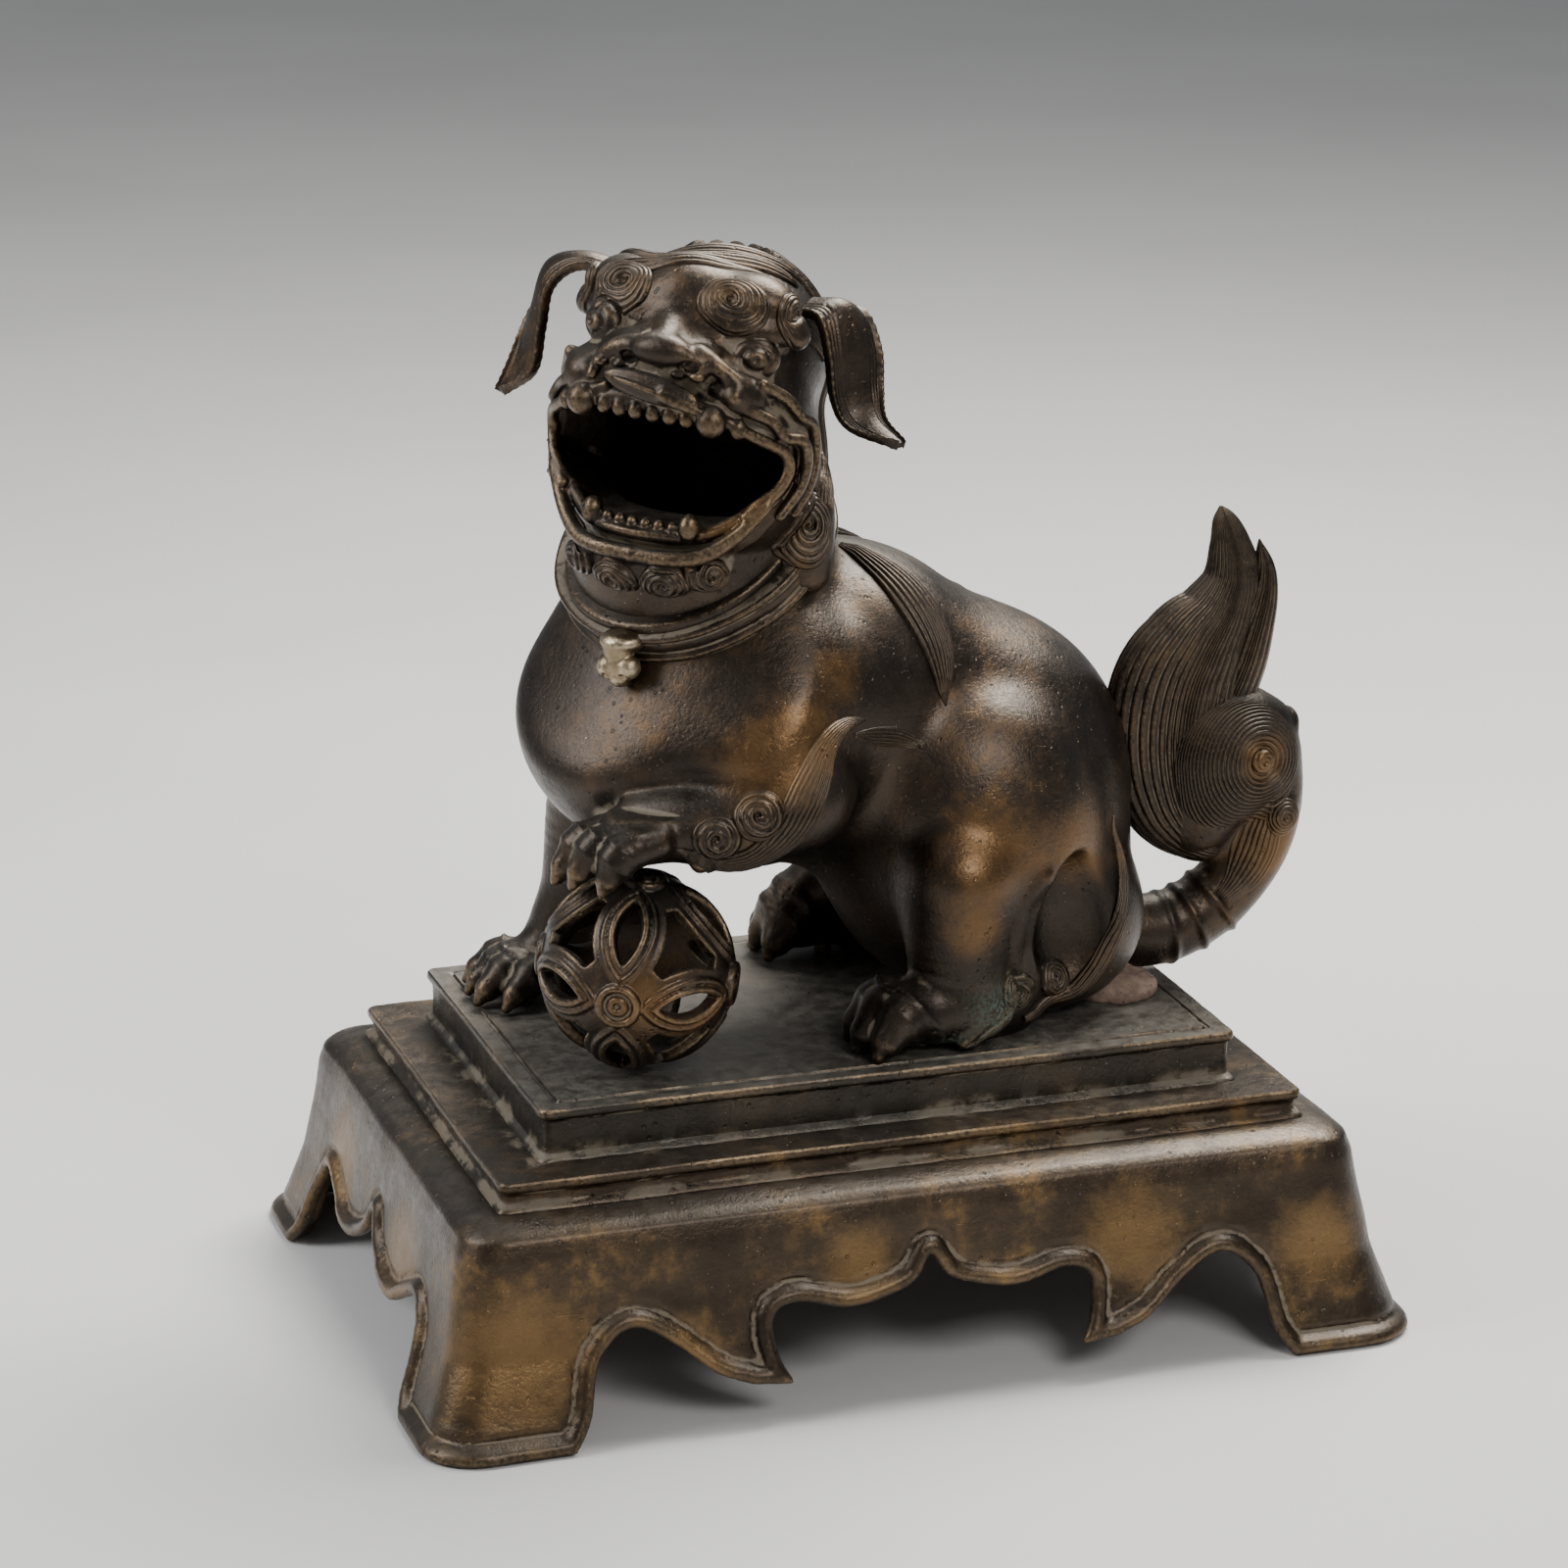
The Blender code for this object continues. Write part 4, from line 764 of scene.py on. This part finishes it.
def plume(knots, around):
    """A flame-shaped plume ridged lengthwise all round."""
    line = spline(knots, 14)
    x, z, half, thick = line.T
    centre = np.stack([x, np.full(len(x), TAIL_Y), z], axis=-1)
    along = unit(np.gradient(centre, axis=0))
    side = np.cross(along, np.array([0.0, 1.0, 0.0]))
    phi = np.linspace(0, 2 * math.pi, around * RIDGE_STEPS, endpoint=False)
    arc = phi + 0.35 * np.sin(2 * phi)
    comb = np.broadcast_to(ridges(phi / (2 * math.pi) * around), (len(half), len(phi)))
    deep = 0.8 * np.clip(half / knots[3][2], 0.05, 1)[:, None]
    across = (half[:, None] - deep * (1 - comb)) * np.cos(arc)
    front = (thick[:, None] - deep * (1 - comb)) * np.sin(arc)
    points = centre[:, None] + side[:, None] * across[..., None] + np.array([0.0, 1.0, 0.0]) * front[..., None]
    rows, columns = comb.shape
    quads = grid_faces(rows, columns, ring=True)
    hub = rows * columns
    last = hub - columns
    i = np.arange(columns)
    j = (i + 1) % columns
    root = np.stack([j, i, np.full(columns, hub)], axis=-1)
    tip = np.stack([last + i, last + j, np.full(columns, hub + 1)], axis=-1)
    triangles = np.concatenate([quads[:, [0, 1, 2]], quads[:, [0, 2, 3]], root, tip])
    hubs = [centre[0], centre[-1] + along[-1] * 0.3]
    layers = [np.append(layer.ravel(), [0, 0]) for layer in hair_paint(comb)]
    return solid("tail_plume_flame", np.concatenate([points.reshape(-1, 3), hubs]), triangles, *layers)


# ---------------------------------------------------------------- ball

def ball():
    """A hollow ball of ribbons: six bosses, double-rimmed lens windows and three-sided ones."""
    radius, wall = 27.2, 4.2
    clay = Clay(BALL_CENTRE - 29, BALL_CENTRE + 29, 0.48)
    x, y, z = (axis.astype(float) for axis in clay.axes)
    p = np.stack(np.meshgrid(x, y, z, indexing="ij"), axis=-1) - BALL_CENTRE
    far = np.linalg.norm(p, axis=-1)
    turn = np.array((Matrix.Rotation(math.radians(-28), 3, "Z") @ Matrix.Rotation(math.radians(6), 3, "Y")
                     @ Matrix.Rotation(math.radians(4), 3, "X")))
    d = (p @ turn) / np.maximum(far, 1)[..., None]
    size = np.abs(d)
    order = np.sort(size, axis=-1)
    big, mid, small = order[..., 2], order[..., 1], order[..., 0]
    # Lens between two bosses: along the arc from one to the other, and across it
    lens_along = radius * (np.arctan2(mid, big) - math.pi / 4)
    lens_across = radius * np.arcsin(np.clip(small, 0, 1))
    arc = 15.0
    lens = np.hypot(lens_along, lens_across + arc - 3.5) - arc
    corner_angle = np.arccos(np.clip((big + mid + small) / math.sqrt(3), -1, 1)) * radius
    boss = radius * np.arccos(np.clip(big, -1, 1))
    three = np.maximum(corner_angle - 11.5, 7.1 - lens)

    def rib(value, middle, width, height):
        return height * np.sqrt(np.clip(1 - ((value - middle) / width) ** 2, 0, 1))

    skin = radius - 1.2 + rib(lens, 1.1, 1.15, 1.2) + rib(lens, 3.5, 1.05, 0.9)
    skin = np.maximum(skin, radius - 1.2 + rib(boss, 5.2, 1.3, 1.7))
    skin = np.maximum(skin, radius - 1.9 + rib(boss, 1.9, 1.5, 2.0) - rib(boss, 0.0, 0.9, 1.0))
    windows = np.minimum(np.where(boss > 6.6, lens, 5.0), np.where(boss > 7, three, 5.0))
    field = np.maximum(far - skin, (radius - wall) - far)
    field = -smooth_min(-field, windows, 0.5)
    sole = (TOP_Z + 0.2) - (p[..., 2] + BALL_CENTRE[2])
    clay.field = np.maximum(field, sole).astype(np.float32)
    return clay.cast("openwork_ball")


# ---------------------------------------------------------------- plinth

UPPER_HALF = (99.5, 61.1)
LOWER_HALF = (114.1, 74.0)
LOWER_TOP_Z = 66.9
APRON_TOP_Z = 59.3
APRON_WALL = 4.4
# (distance out from the lower step, height) down the apron's face; then the arches' knots from a corner inwards
APRON_FACE = [(3.0, 59.0), (8.0, 58.2), (11.8, 55.6), (13.4, 51.0), (15.6, 38.0), (18.2, 24.0), (22.9, 10.0),
              (25.4, 4.0), (26.9, 0.0)]
LONG_EDGE = [(103.0, -2.0), (96.5, 8.0), (93.0, 22.0), (84.0, 29.5), (74.0, 25.0), (62.0, 15.5), (52.0, 11.5)]
LONG_MIDDLE = [(40.0, 10.3), (44.0, 18.0), (44.5, 28.0), (37.5, 30.8), (24.0, 27.8), (11.0, 29.8), (4.0, 33.0),
               (0.0, 39.0)]
SHORT_EDGE = [(67.0, -2.0), (60.0, 6.0), (57.0, 18.0), (51.0, 27.5), (42.0, 25.0), (30.0, 19.5), (18.0, 19.5),
              (8.0, 23.5), (3.0, 27.5), (0.0, 33.0)]


def whole_edge(*halves):
    """An arch edge, from (distance from the middle, height) knots of one half of it."""
    half = np.concatenate([spline(part, 5) for part in halves])
    return np.concatenate([half, half[::-1] * (-1, 1)])


def outside(across, height, outline):
    """Signed distance from a flat outline, above 0 outside it."""
    nearest = np.full(np.broadcast(across, height).shape, 1e9)
    inside = np.zeros(nearest.shape, bool)
    for (ax, az), (bx, bz) in zip(outline, np.roll(outline, -1, axis=0)):
        dx, dz = bx - ax, bz - az
        length = max(dx * dx + dz * dz, 1e-9)
        t = np.clip(((across - ax) * dx + (height - az) * dz) / length, 0, 1)
        nearest = np.minimum(nearest, np.hypot(across - ax - t * dx, height - az - t * dz))
        if abs(dz) > 1e-9:
            inside ^= ((az > height) != (bz > height)) & (across < ax + (height - az) * dx / dz)
    return np.where(inside, -nearest, nearest)


def rounded_box(x, y, half_x, half_y, radius):
    """Signed distance from a rounded rectangle."""
    qx, qy = np.abs(x) - half_x + radius, np.abs(y) - half_y + radius
    return np.hypot(np.maximum(qx, 0), np.maximum(qy, 0)) + np.minimum(np.maximum(qx, qy), 0) - radius


def apron():
    """The flared skirt of the plinth with its scalloped edge, which a bead follows."""
    clay = Clay((-145, -105, -2), (145, 105, 62), 1.1)
    x, y, z = (axis.astype(float) for axis in clay.axes)
    outs, heights = np.array(APRON_FACE)[::-1].T
    out = np.interp(z, heights, outs)
    lean = np.clip(1 / np.sqrt(1 + np.gradient(out, z) ** 2), 0.45, 1)
    grid = (x[:, None, None], y[None, :, None], z[None, None, :])
    face = rounded_box(grid[0], grid[1], LOWER_HALF[0] + out, LOWER_HALF[1] + out, 9 + 0.25 * out) * lean
    face = face + 0.35 * lumps(grid, 34, 5) + 0.12 * lumps(grid, 9, 6) + 0.25
    cap = smooth_min(-face, APRON_TOP_Z - 0.3 - grid[2], 1.0)
    hollow = np.maximum(face + APRON_WALL, grid[2] - (APRON_TOP_Z - APRON_WALL - 0.1))
    hole = rounded_box(grid[0], grid[1], LOWER_HALF[0] - 7, LOWER_HALF[1] - 7, 9)
    metal = np.maximum(np.maximum(-cap, -hollow), -hole)
    long_edge = outside(x[:, None], z[None, :], whole_edge(LONG_EDGE, LONG_MIDDLE))[:, None, :]
    short_edge = outside(y[:, None], z[None, :], whole_edge(SHORT_EDGE))[None, :, :]
    edge = np.minimum(np.minimum(long_edge, short_edge), grid[2])
    metal = -smooth_min(-metal, edge - 1.6, 0.8)
    bead = np.hypot(edge - 2.4, face + 0.3) - 2.1 - 0.12 * lumps(grid, 24, 7)
    crease = np.hypot(edge - 5.6, face + 0.1) - 0.9
    metal = -smooth_min(-metal, crease, 0.8)
    clay.field = smooth_min(metal, bead, 0.9).astype(np.float32)
    return clay.cast("apron_casting")


def ring_points(half_x, half_y, radius, step):
    """Points round a rounded rectangle: the same number on each side at every size."""
    points = []
    sides = ((1, 1), (-1, 1), (-1, -1), (1, -1))
    counts = [max(4, int(2 * h / step)) for h in (UPPER_HALF[0], UPPER_HALF[1])]
    for turn, (sx, sy) in enumerate(sides):
        cx, cy = sx * (half_x - radius), sy * (half_y - radius)
        for i in range(6):
            angle = math.pi / 2 * (turn + i / 5)
            points.append((cx + radius * math.cos(angle), cy + radius * math.sin(angle)))
        nx, ny = sides[(turn + 1) % 4]
        ex, ey = nx * (half_x - radius), ny * (half_y - radius)
        out = (math.cos(math.pi / 2 * (turn + 1)) * radius, math.sin(math.pi / 2 * (turn + 1)) * radius)
        count = counts[turn % 2]
        for i in range(1, count):
            t = i / count
            points.append((cx + (ex - cx) * t + out[0], cy + (ey - cy) * t + out[1]))
    return np.array(points)


def tier(name, half, rows, seed):
    """A step of the plinth from rows of (inset, height, wear, grime, roughness)."""
    step = 1.6
    rings, worn, grime = [], [], []
    for inset, z, wear, dirt, rough in rows:
        hx, hy = max(half[0] - inset, 0.02), max(half[1] - inset, 0.02)
        radius = min(2.6 if inset < 5 else 1.2, hx * 0.9, hy * 0.9)
        flat = ring_points(hx, hy, radius, step)
        place = np.column_stack([flat, np.full(len(flat), z)])
        out = unit(np.column_stack([flat / (np.array(half) ** 2), np.zeros(len(flat))]))
        fine = lumps(place.T, 5, seed) * rough + lumps(place.T, 1.9, seed + 1) * rough * 0.8
        slow = 0.22 * lumps((place[:, 0], place[:, 1], 0), 45, seed + 2)
        place = place + out * np.minimum(fine + slow, 0.5)[:, None]
        if inset > 0.2:
            place[:, 2] += 0.5 * np.minimum(fine, 0.3)
        rings.append(place)
        worn.append(np.full(len(flat), wear) * np.clip(0.65 + 0.5 * lumps(place.T, 16, seed + 3), 0.1, 1))
        grime.append(np.full(len(flat), dirt) * np.clip(0.7 + 0.5 * lumps(place.T, 12, seed + 4), 0.1, 1))
    points = np.concatenate(rings)
    faces = grid_faces(len(rings), len(rings[0]), ring=True)
    return solid(name, points, faces, worn=np.concatenate(worn), grime=np.concatenate(grime), sharp=38)


def steps():
    """Both steps, with thin overhanging rims, rough seams at their feet and a line engraved in the top."""
    made = []
    for name, half, foot, top, seed in (("lower_step_casting", LOWER_HALF, APRON_TOP_Z - 0.2, LOWER_TOP_Z, 21),
                                        ("upper_step_casting", UPPER_HALF, LOWER_TOP_Z - 0.2, TOP_Z, 31)):
        under = [(half[1], top - 4, 0, 0, 0), (4, top - 4, 0, 0, 0), (4, foot, 0, 0, 0)]
        seam = [(-0.7, foot, 0.1, 0.8, 0.10), (-0.5, foot + 0.5, 0.3, 0.6, 0.12),
                (0.3, foot + 1.1, 0.1, 1.0, 0.12), (1.1, foot + 1.9, 0, 0.8, 0.06)]
        side = [(1.2, foot + (top - foot) * 0.45, 0, 0.1, 0.05), (1.15, top - 3.8, 0, 0.2, 0.05),
                (1.0, top - 3.2, 0, 0.6, 0.05)]
        rim = [(0.35, top - 2.7, 0.2, 0.4, 0.08), (0.0, top - 2.1, 0.45, 0.0, 0.06),
               (0.0, top - 1.0, 0.5, 0.0, 0.06), (0.12, top - 0.4, 0.9, 0.0, 0.05), (0.5, top, 1.0, 0.0, 0.05),
               (1.1, top - 0.02, 0.5, 0, 0.03)]
        if top == TOP_Z:
            plate = [(3, top - 0.1, 0, 0.1, 0.03), (5.2, top - 0.1, 0, 0.3, 0.03),
                     (5.7, top - 0.55, 0, 0.7, 0.1), (6.2, top - 0.55, 0, 0.6, 0.1),
                     (6.7, top + 0.12, 0.8, 0.1, 0.12), (7.5, top - 0.05, 0.1, 0.1, 0.05)]
            plate += [(inset, top - 0.08, 0, 0.05, 0.03) for inset in np.linspace(12, half[1], 10)]
        else:
            plate = [(5, top - 0.1, 0, 0.1, 0.05), (9, top - 0.1, 0, 0.3, 0.05),
                     (12.5, top - 0.1, 0, 0.6, 0.1), (16, top - 0.2, 0, 0.4, 0), (40, top - 0.3, 0, 0, 0),
                     (half[1], top - 0.3, 0, 0, 0)]
        made.append(tier(name, half, under + seam + side + rim + plate, seed))
    return made


def clay_patch():
    """Dry clay that has crumbled out from under the rump."""
    clay = Clay((60, -36, 78), (98, 0, 94), 0.6)
    clay.egg((80, -18, 82.5), (12.5, 12.5, 5.8), blend=2)
    clay.egg((74, -12, 84), (7, 7, 5), blend=2)
    x, y, z = (axis.astype(float) for axis in clay.axes)
    grid = (x[:, None, None], y[None, :, None], z[None, None, :])
    clay.field = (clay.field + 0.45 * lumps(grid, 4, 51) + 0.2 * lumps(grid, 1.8, 52)).astype(np.float32)
    clay.plane(TOP_Z - 0.3)
    return clay.cast("dry_clay_patch")


# ---------------------------------------------------------------- finishes

class Shader:
    """A node tree being wired up, one node a call."""

    def __init__(self, name):
        self.material = bpy.data.materials.new(name)
        self.material.use_nodes = True
        self.tree = self.material.node_tree
        self.skin = self.tree.nodes["Principled BSDF"]
        self.place = self.add("ShaderNodeTexCoord").outputs["Object"]

    def add(self, kind, settings=(), **inputs):
        node = self.tree.nodes.new(kind)
        for key, value in dict(settings).items():
            setattr(node, key, value)
        for key, value in inputs.items():
            self.plug(node.inputs[key.replace("_", " ")], value)
        return node

    def plug(self, socket, value):
        if hasattr(value, "is_output"):
            self.tree.links.new(value, socket)
        else:
            socket.default_value = value

    def noise(self, scale, detail=3.0, rough=0.55, stretch=None, distortion=0.0):
        place = self.place
        if stretch is not None:
            place = self.add("ShaderNodeMapping", Vector=place, Scale=stretch).outputs[0]
        node = self.add("ShaderNodeTexNoise", Vector=place, Scale=scale, Detail=detail, Roughness=rough,
                        Distortion=distortion)
        return node.outputs["Fac"]

    def span(self, value, low, high, to_low=0.0, to_high=1.0):
        node = self.add("ShaderNodeMapRange", {"interpolation_type": "SMOOTHSTEP"}, Value=value)
        for key, number in (("From Min", low), ("From Max", high), ("To Min", to_low), ("To Max", to_high)):
            node.inputs[key].default_value = number
        return node.outputs["Result"]

    def math(self, kind, a, b=0.0):
        node = self.add("ShaderNodeMath", {"operation": kind})
        self.plug(node.inputs[0], a)
        self.plug(node.inputs[1], b)
        return node.outputs[0]

    def times(self, a, b):
        return self.math("MULTIPLY", a, b)

    def blend(self, amount, a, b):
        node = self.add("ShaderNodeMix", {"data_type": "RGBA"})
        self.plug(node.inputs[0], amount)
        for socket, value in ((node.inputs[6], a), (node.inputs[7], b)):
            self.plug(socket, value if hasattr(value, "is_output") else (*value, 1.0))
        return node.outputs[2]

    def layer(self, name):
        return self.add("ShaderNodeAttribute", {"attribute_name": name,
                                                "attribute_type": "GEOMETRY"}).outputs["Fac"]


def bronze(name, dark, brown, gold, rub=1.0, dust=0.35, mottle=0.45, bright=(0.21, 0.145, 0.082),
           powder=(0.20, 0.185, 0.155)):
    """Cast bronze: an uneven patina, warm rubbed places, bright worn edges, grime in the hollows and dust."""
    s = Shader(name)
    worn, grime, rubbed, green = (s.layer(key) for key in ("worn", "grime", "rubbed", "green"))
    broad, middle, fine = s.noise(32, 9, 0.62), s.noise(170, 7, 0.66), s.noise(900, 4, 0.6)
    colour = s.blend(s.span(broad, 0.36, 0.66), dark, brown)
    mottled = s.times(s.span(middle, 0.44, 0.66), s.span(broad, 0.45, 0.66, 0.05, 1.0))
    colour = s.blend(s.times(mottled, mottle), colour, gold)
    speckled = s.span(s.math("ADD", s.times(rubbed, 0.75), s.times(middle, 0.55)), 0.46, 1.0)
    colour = s.blend(s.times(speckled, rub), colour, gold)
    edge = s.times(worn, s.span(fine, 0.30, 0.62, 0.35, 1.0))
    colour = s.blend(s.span(edge, 0.12, 0.85, 0.0, 0.85), colour, bright)
    specks = s.add("ShaderNodeTexVoronoi", Vector=s.place, Scale=520.0, Randomness=1.0).outputs["Distance"]
    speck = s.times(s.span(specks, 0.05, 0.13, 1.0, 0.0), s.span(s.noise(60, 4), 0.46, 0.62))
    colour = s.blend(s.times(speck, 0.55), colour, (0.34, 0.31, 0.26))
    dirt = s.span(s.times(grime, s.span(middle, 0.3, 0.62, 0.35, 1.2)), 0.22, 0.8)
    colour = s.blend(s.times(dirt, 0.75), colour, (0.215, 0.175, 0.120))
    up = s.add("ShaderNodeSeparateXYZ", Vector=s.add("ShaderNodeNewGeometry").outputs["Normal"]).outputs["Z"]
    dusty = s.times(s.span(up, 0.55, 0.98), s.span(s.noise(210, 8, 0.7), 0.2, 0.75, 0.35, 1.0))
    dusty = s.times(dusty, dust)
    colour = s.blend(dusty, colour, powder)
    verdigris = s.times(green, s.span(fine, 0.40, 0.62))
    colour = s.blend(s.times(verdigris, 0.35), colour, (0.10, 0.22, 0.17))
    s.plug(s.skin.inputs["Base Color"], colour)
    cover = s.math("MAXIMUM", s.times(dirt, 0.8), s.math("MAXIMUM", dusty, verdigris))
    s.plug(s.skin.inputs["Metallic"], s.span(cover, 0.0, 1.0, 1.0, 0.15))
    rough = s.math("ADD", s.span(middle, 0.3, 0.7, 0.30, 0.44), s.span(cover, 0.0, 1.0, 0.0, 0.42))
    s.plug(s.skin.inputs["Roughness"], s.math("ADD", rough, s.span(fine, 0.3, 0.7, -0.03, 0.05)))
    pits = s.add("ShaderNodeTexVoronoi", Vector=s.place, Scale=330.0, Randomness=1.0).outputs["Distance"]
    pit = s.times(s.span(pits, 0.08, 0.24, 1.0, 0.0), s.span(s.noise(140, 3), 0.50, 0.62))
    scratches = s.span(s.noise(110, 3, 0.6, (9, 9, 1), 1.2), 0.64, 0.70)
    slanted = s.span(s.noise(90, 3, 0.6, (1, 8, 5), 1.5), 0.65, 0.71)
    height = s.math("ADD", s.times(middle, 0.45), s.times(fine, 0.30))
    height = s.math("SUBTRACT", height, s.times(pit, 0.7))
    height = s.math("SUBTRACT", height, s.times(s.math("MAXIMUM", scratches, slanted), 0.12))
    bump = s.add("ShaderNodeBump", Height=height, Strength=0.75, Distance=0.0008)
    s.plug(s.skin.inputs["Normal"], bump.outputs[0])
    s.skin.inputs["Coat Weight"].default_value = 0.22
    s.skin.inputs["Coat Roughness"].default_value = 0.32
    return s.material


def dry_clay():
    s = Shader("crumbly_clay")
    colour = s.blend(s.span(s.noise(160, 6, 0.65), 0.35, 0.65), (0.165, 0.105, 0.078), (0.30, 0.215, 0.165))
    colour = s.blend(s.span(s.noise(700, 3), 0.60, 0.72), colour, (0.07, 0.05, 0.04))
    s.plug(s.skin.inputs["Base Color"], colour)
    s.plug(s.skin.inputs["Roughness"], s.span(s.noise(300, 4), 0.3, 0.7, 0.82, 0.98))
    bump = s.add("ShaderNodeBump", Height=s.noise(900, 6, 0.7), Strength=0.6, Distance=0.0008)
    s.plug(s.skin.inputs["Normal"], bump.outputs[0])
    return s.material


def paper_floor():
    s = Shader("pale_floor")
    colour = s.blend(s.span(s.noise(3, 3), 0.3, 0.7), (0.60, 0.595, 0.585), (0.64, 0.635, 0.625))
    s.plug(s.skin.inputs["Base Color"], colour)
    s.skin.inputs["Roughness"].default_value = 0.85
    return s.material


# ---------------------------------------------------------------- building it all

PATINA = bronze("patinated_bronze", (0.030, 0.023, 0.018), (0.056, 0.040, 0.028), (0.150, 0.082, 0.033), 0.8)
SKIRT = bronze("mottled_bronze", (0.040, 0.029, 0.020), (0.072, 0.050, 0.031), (0.190, 0.115, 0.048), 0.9,
               0.3, 0.95)
TOP = bronze("dusty_bronze", (0.036, 0.031, 0.025), (0.060, 0.049, 0.037), (0.110, 0.078, 0.046), 0.5, 0.68,
             0.4, powder=(0.235, 0.215, 0.18))
BRASSY = bronze("rubbed_brass", (0.16, 0.12, 0.075), (0.36, 0.28, 0.17), (0.48, 0.37, 0.23), 0.8, 0.1,
                bright=(0.66, 0.56, 0.40))
CLAY_SKIN = dry_clay()


def dress(piece, material, slot, *nodes):
    """Gives a piece its material, and hides the CAD nodes that it replaces; slot is not used."""
    piece.data.materials.clear()
    piece.data.materials.append(material)
    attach(piece, "root")
    if nodes:
        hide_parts(*nodes)


trunk = body_clay()
body = trunk.cast("lion_trunk_and_legs")
dress(body, PATINA, "dark_bronze", "lion_body", "foreleg_left", "foreleg_right", "hind_leg_left",
      "hind_leg_right")
dress(body_reliefs(trunk), PATINA, "dark_bronze")
skull = head_clay()
dress(skull.cast("lion_head_casting"), PATINA, "dark_bronze", "lion_head")
dress(head_reliefs(skull), PATINA, "dark_bronze")
dress(ear("left_ear_leaf", LEFT_EAR), PATINA, "dark_bronze", "ear_left")
dress(ear("right_ear_leaf", RIGHT_EAR), PATINA, "dark_bronze", "ear_right")
dress(collar(), PATINA, "warm_bronze", "neck_collar")
dress(bell(), BRASSY, "worn_edge", "collar_bell")
stem, curls, flame = tail()
dress(stem, PATINA, "dark_bronze", "tail_stalk")
dress(curls, PATINA, "warm_bronze", "tail_curl")
dress(flame, PATINA, "dark_bronze", "tail_plume")
dress(ball(), PATINA, "dark_bronze", "brocade_ball")
dress(apron(), SKIRT, "dark_bronze", "plinth_apron")
lower, upper = steps()
dress(lower, SKIRT, "dark_bronze", "plinth_lower_step")
dress(upper, TOP, "dark_bronze", "plinth_upper_step")
dress(clay_patch(), CLAY_SKIN, "dry_clay", "clay_patch")
for pin in ("hind_left_foot_pin", "hind_right_foot_pin", "fore_right_foot_pin"):
    pin_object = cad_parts[pin]
    pin_object.data.materials.clear()
    pin_object.data.materials.append(BRASSY)


# ---------------------------------------------------------------- floor, lights and camera

def floor():
    bm = bmesh.new()
    bmesh.ops.create_grid(bm, x_segments=40, y_segments=40, size=6.0)
    mesh = bpy.data.meshes.new("studio_floor")
    bm.to_mesh(mesh)
    bm.free()
    made = bpy.data.objects.new("studio_floor", mesh)
    bpy.context.scene.collection.objects.link(made)
    made.data.materials.append(paper_floor())


# The camera's right, up and back, as columns, and its place in metres, both as the photograph was taken
VIEW = Matrix(((0.9493, 0.0919, -0.3008), (-0.3145, 0.2774, -0.9078), (0.0, 0.9564, 0.2922)))
CAMERA_PLACE = (-0.4186, -1.2282, 0.5407)


def lamp(name, place, size, power, colour):
    """A soft box at a place given as right, up and towards the camera, in metres from the lion's middle."""
    middle = Vector((0.0, 0.0, 0.15))
    light = bpy.data.lights.new(name, "AREA")
    light.shape = "RECTANGLE"
    light.size, light.size_y = size
    light.energy = power
    light.color = colour
    made = bpy.data.objects.new(name, light)
    made.location = middle + VIEW @ Vector(place)
    made.rotation_euler = (made.location - middle).to_track_quat("Z", "Y").to_euler()
    bpy.context.scene.collection.objects.link(made)


floor()
lamp("key_box", (0.38, 1.15, -0.20), (0.90, 0.60), 34, (1.0, 0.98, 0.95))
lamp("side_box", (-1.05, 0.65, 0.45), (0.45, 1.0), 13, (0.97, 0.98, 1.0))
lamp("front_box", (0.65, 0.60, 1.4), (0.7, 0.5), 12, (1.0, 0.98, 0.96))
world = bpy.data.worlds.new("studio")
world.use_nodes = True
world.node_tree.nodes["Background"].inputs["Color"].default_value = (0.90, 0.92, 0.95, 1.0)
world.node_tree.nodes["Background"].inputs["Strength"].default_value = 0.30
bpy.context.scene.world = world

camera = bpy.data.objects.new("camera", bpy.data.cameras.new("camera"))
camera.data.lens = 112.5
camera.data.sensor_width = 36.0
camera.matrix_world = Matrix.Translation(CAMERA_PLACE) @ VIEW.to_4x4()
bpy.context.scene.collection.objects.link(camera)
bpy.context.scene.camera = camera
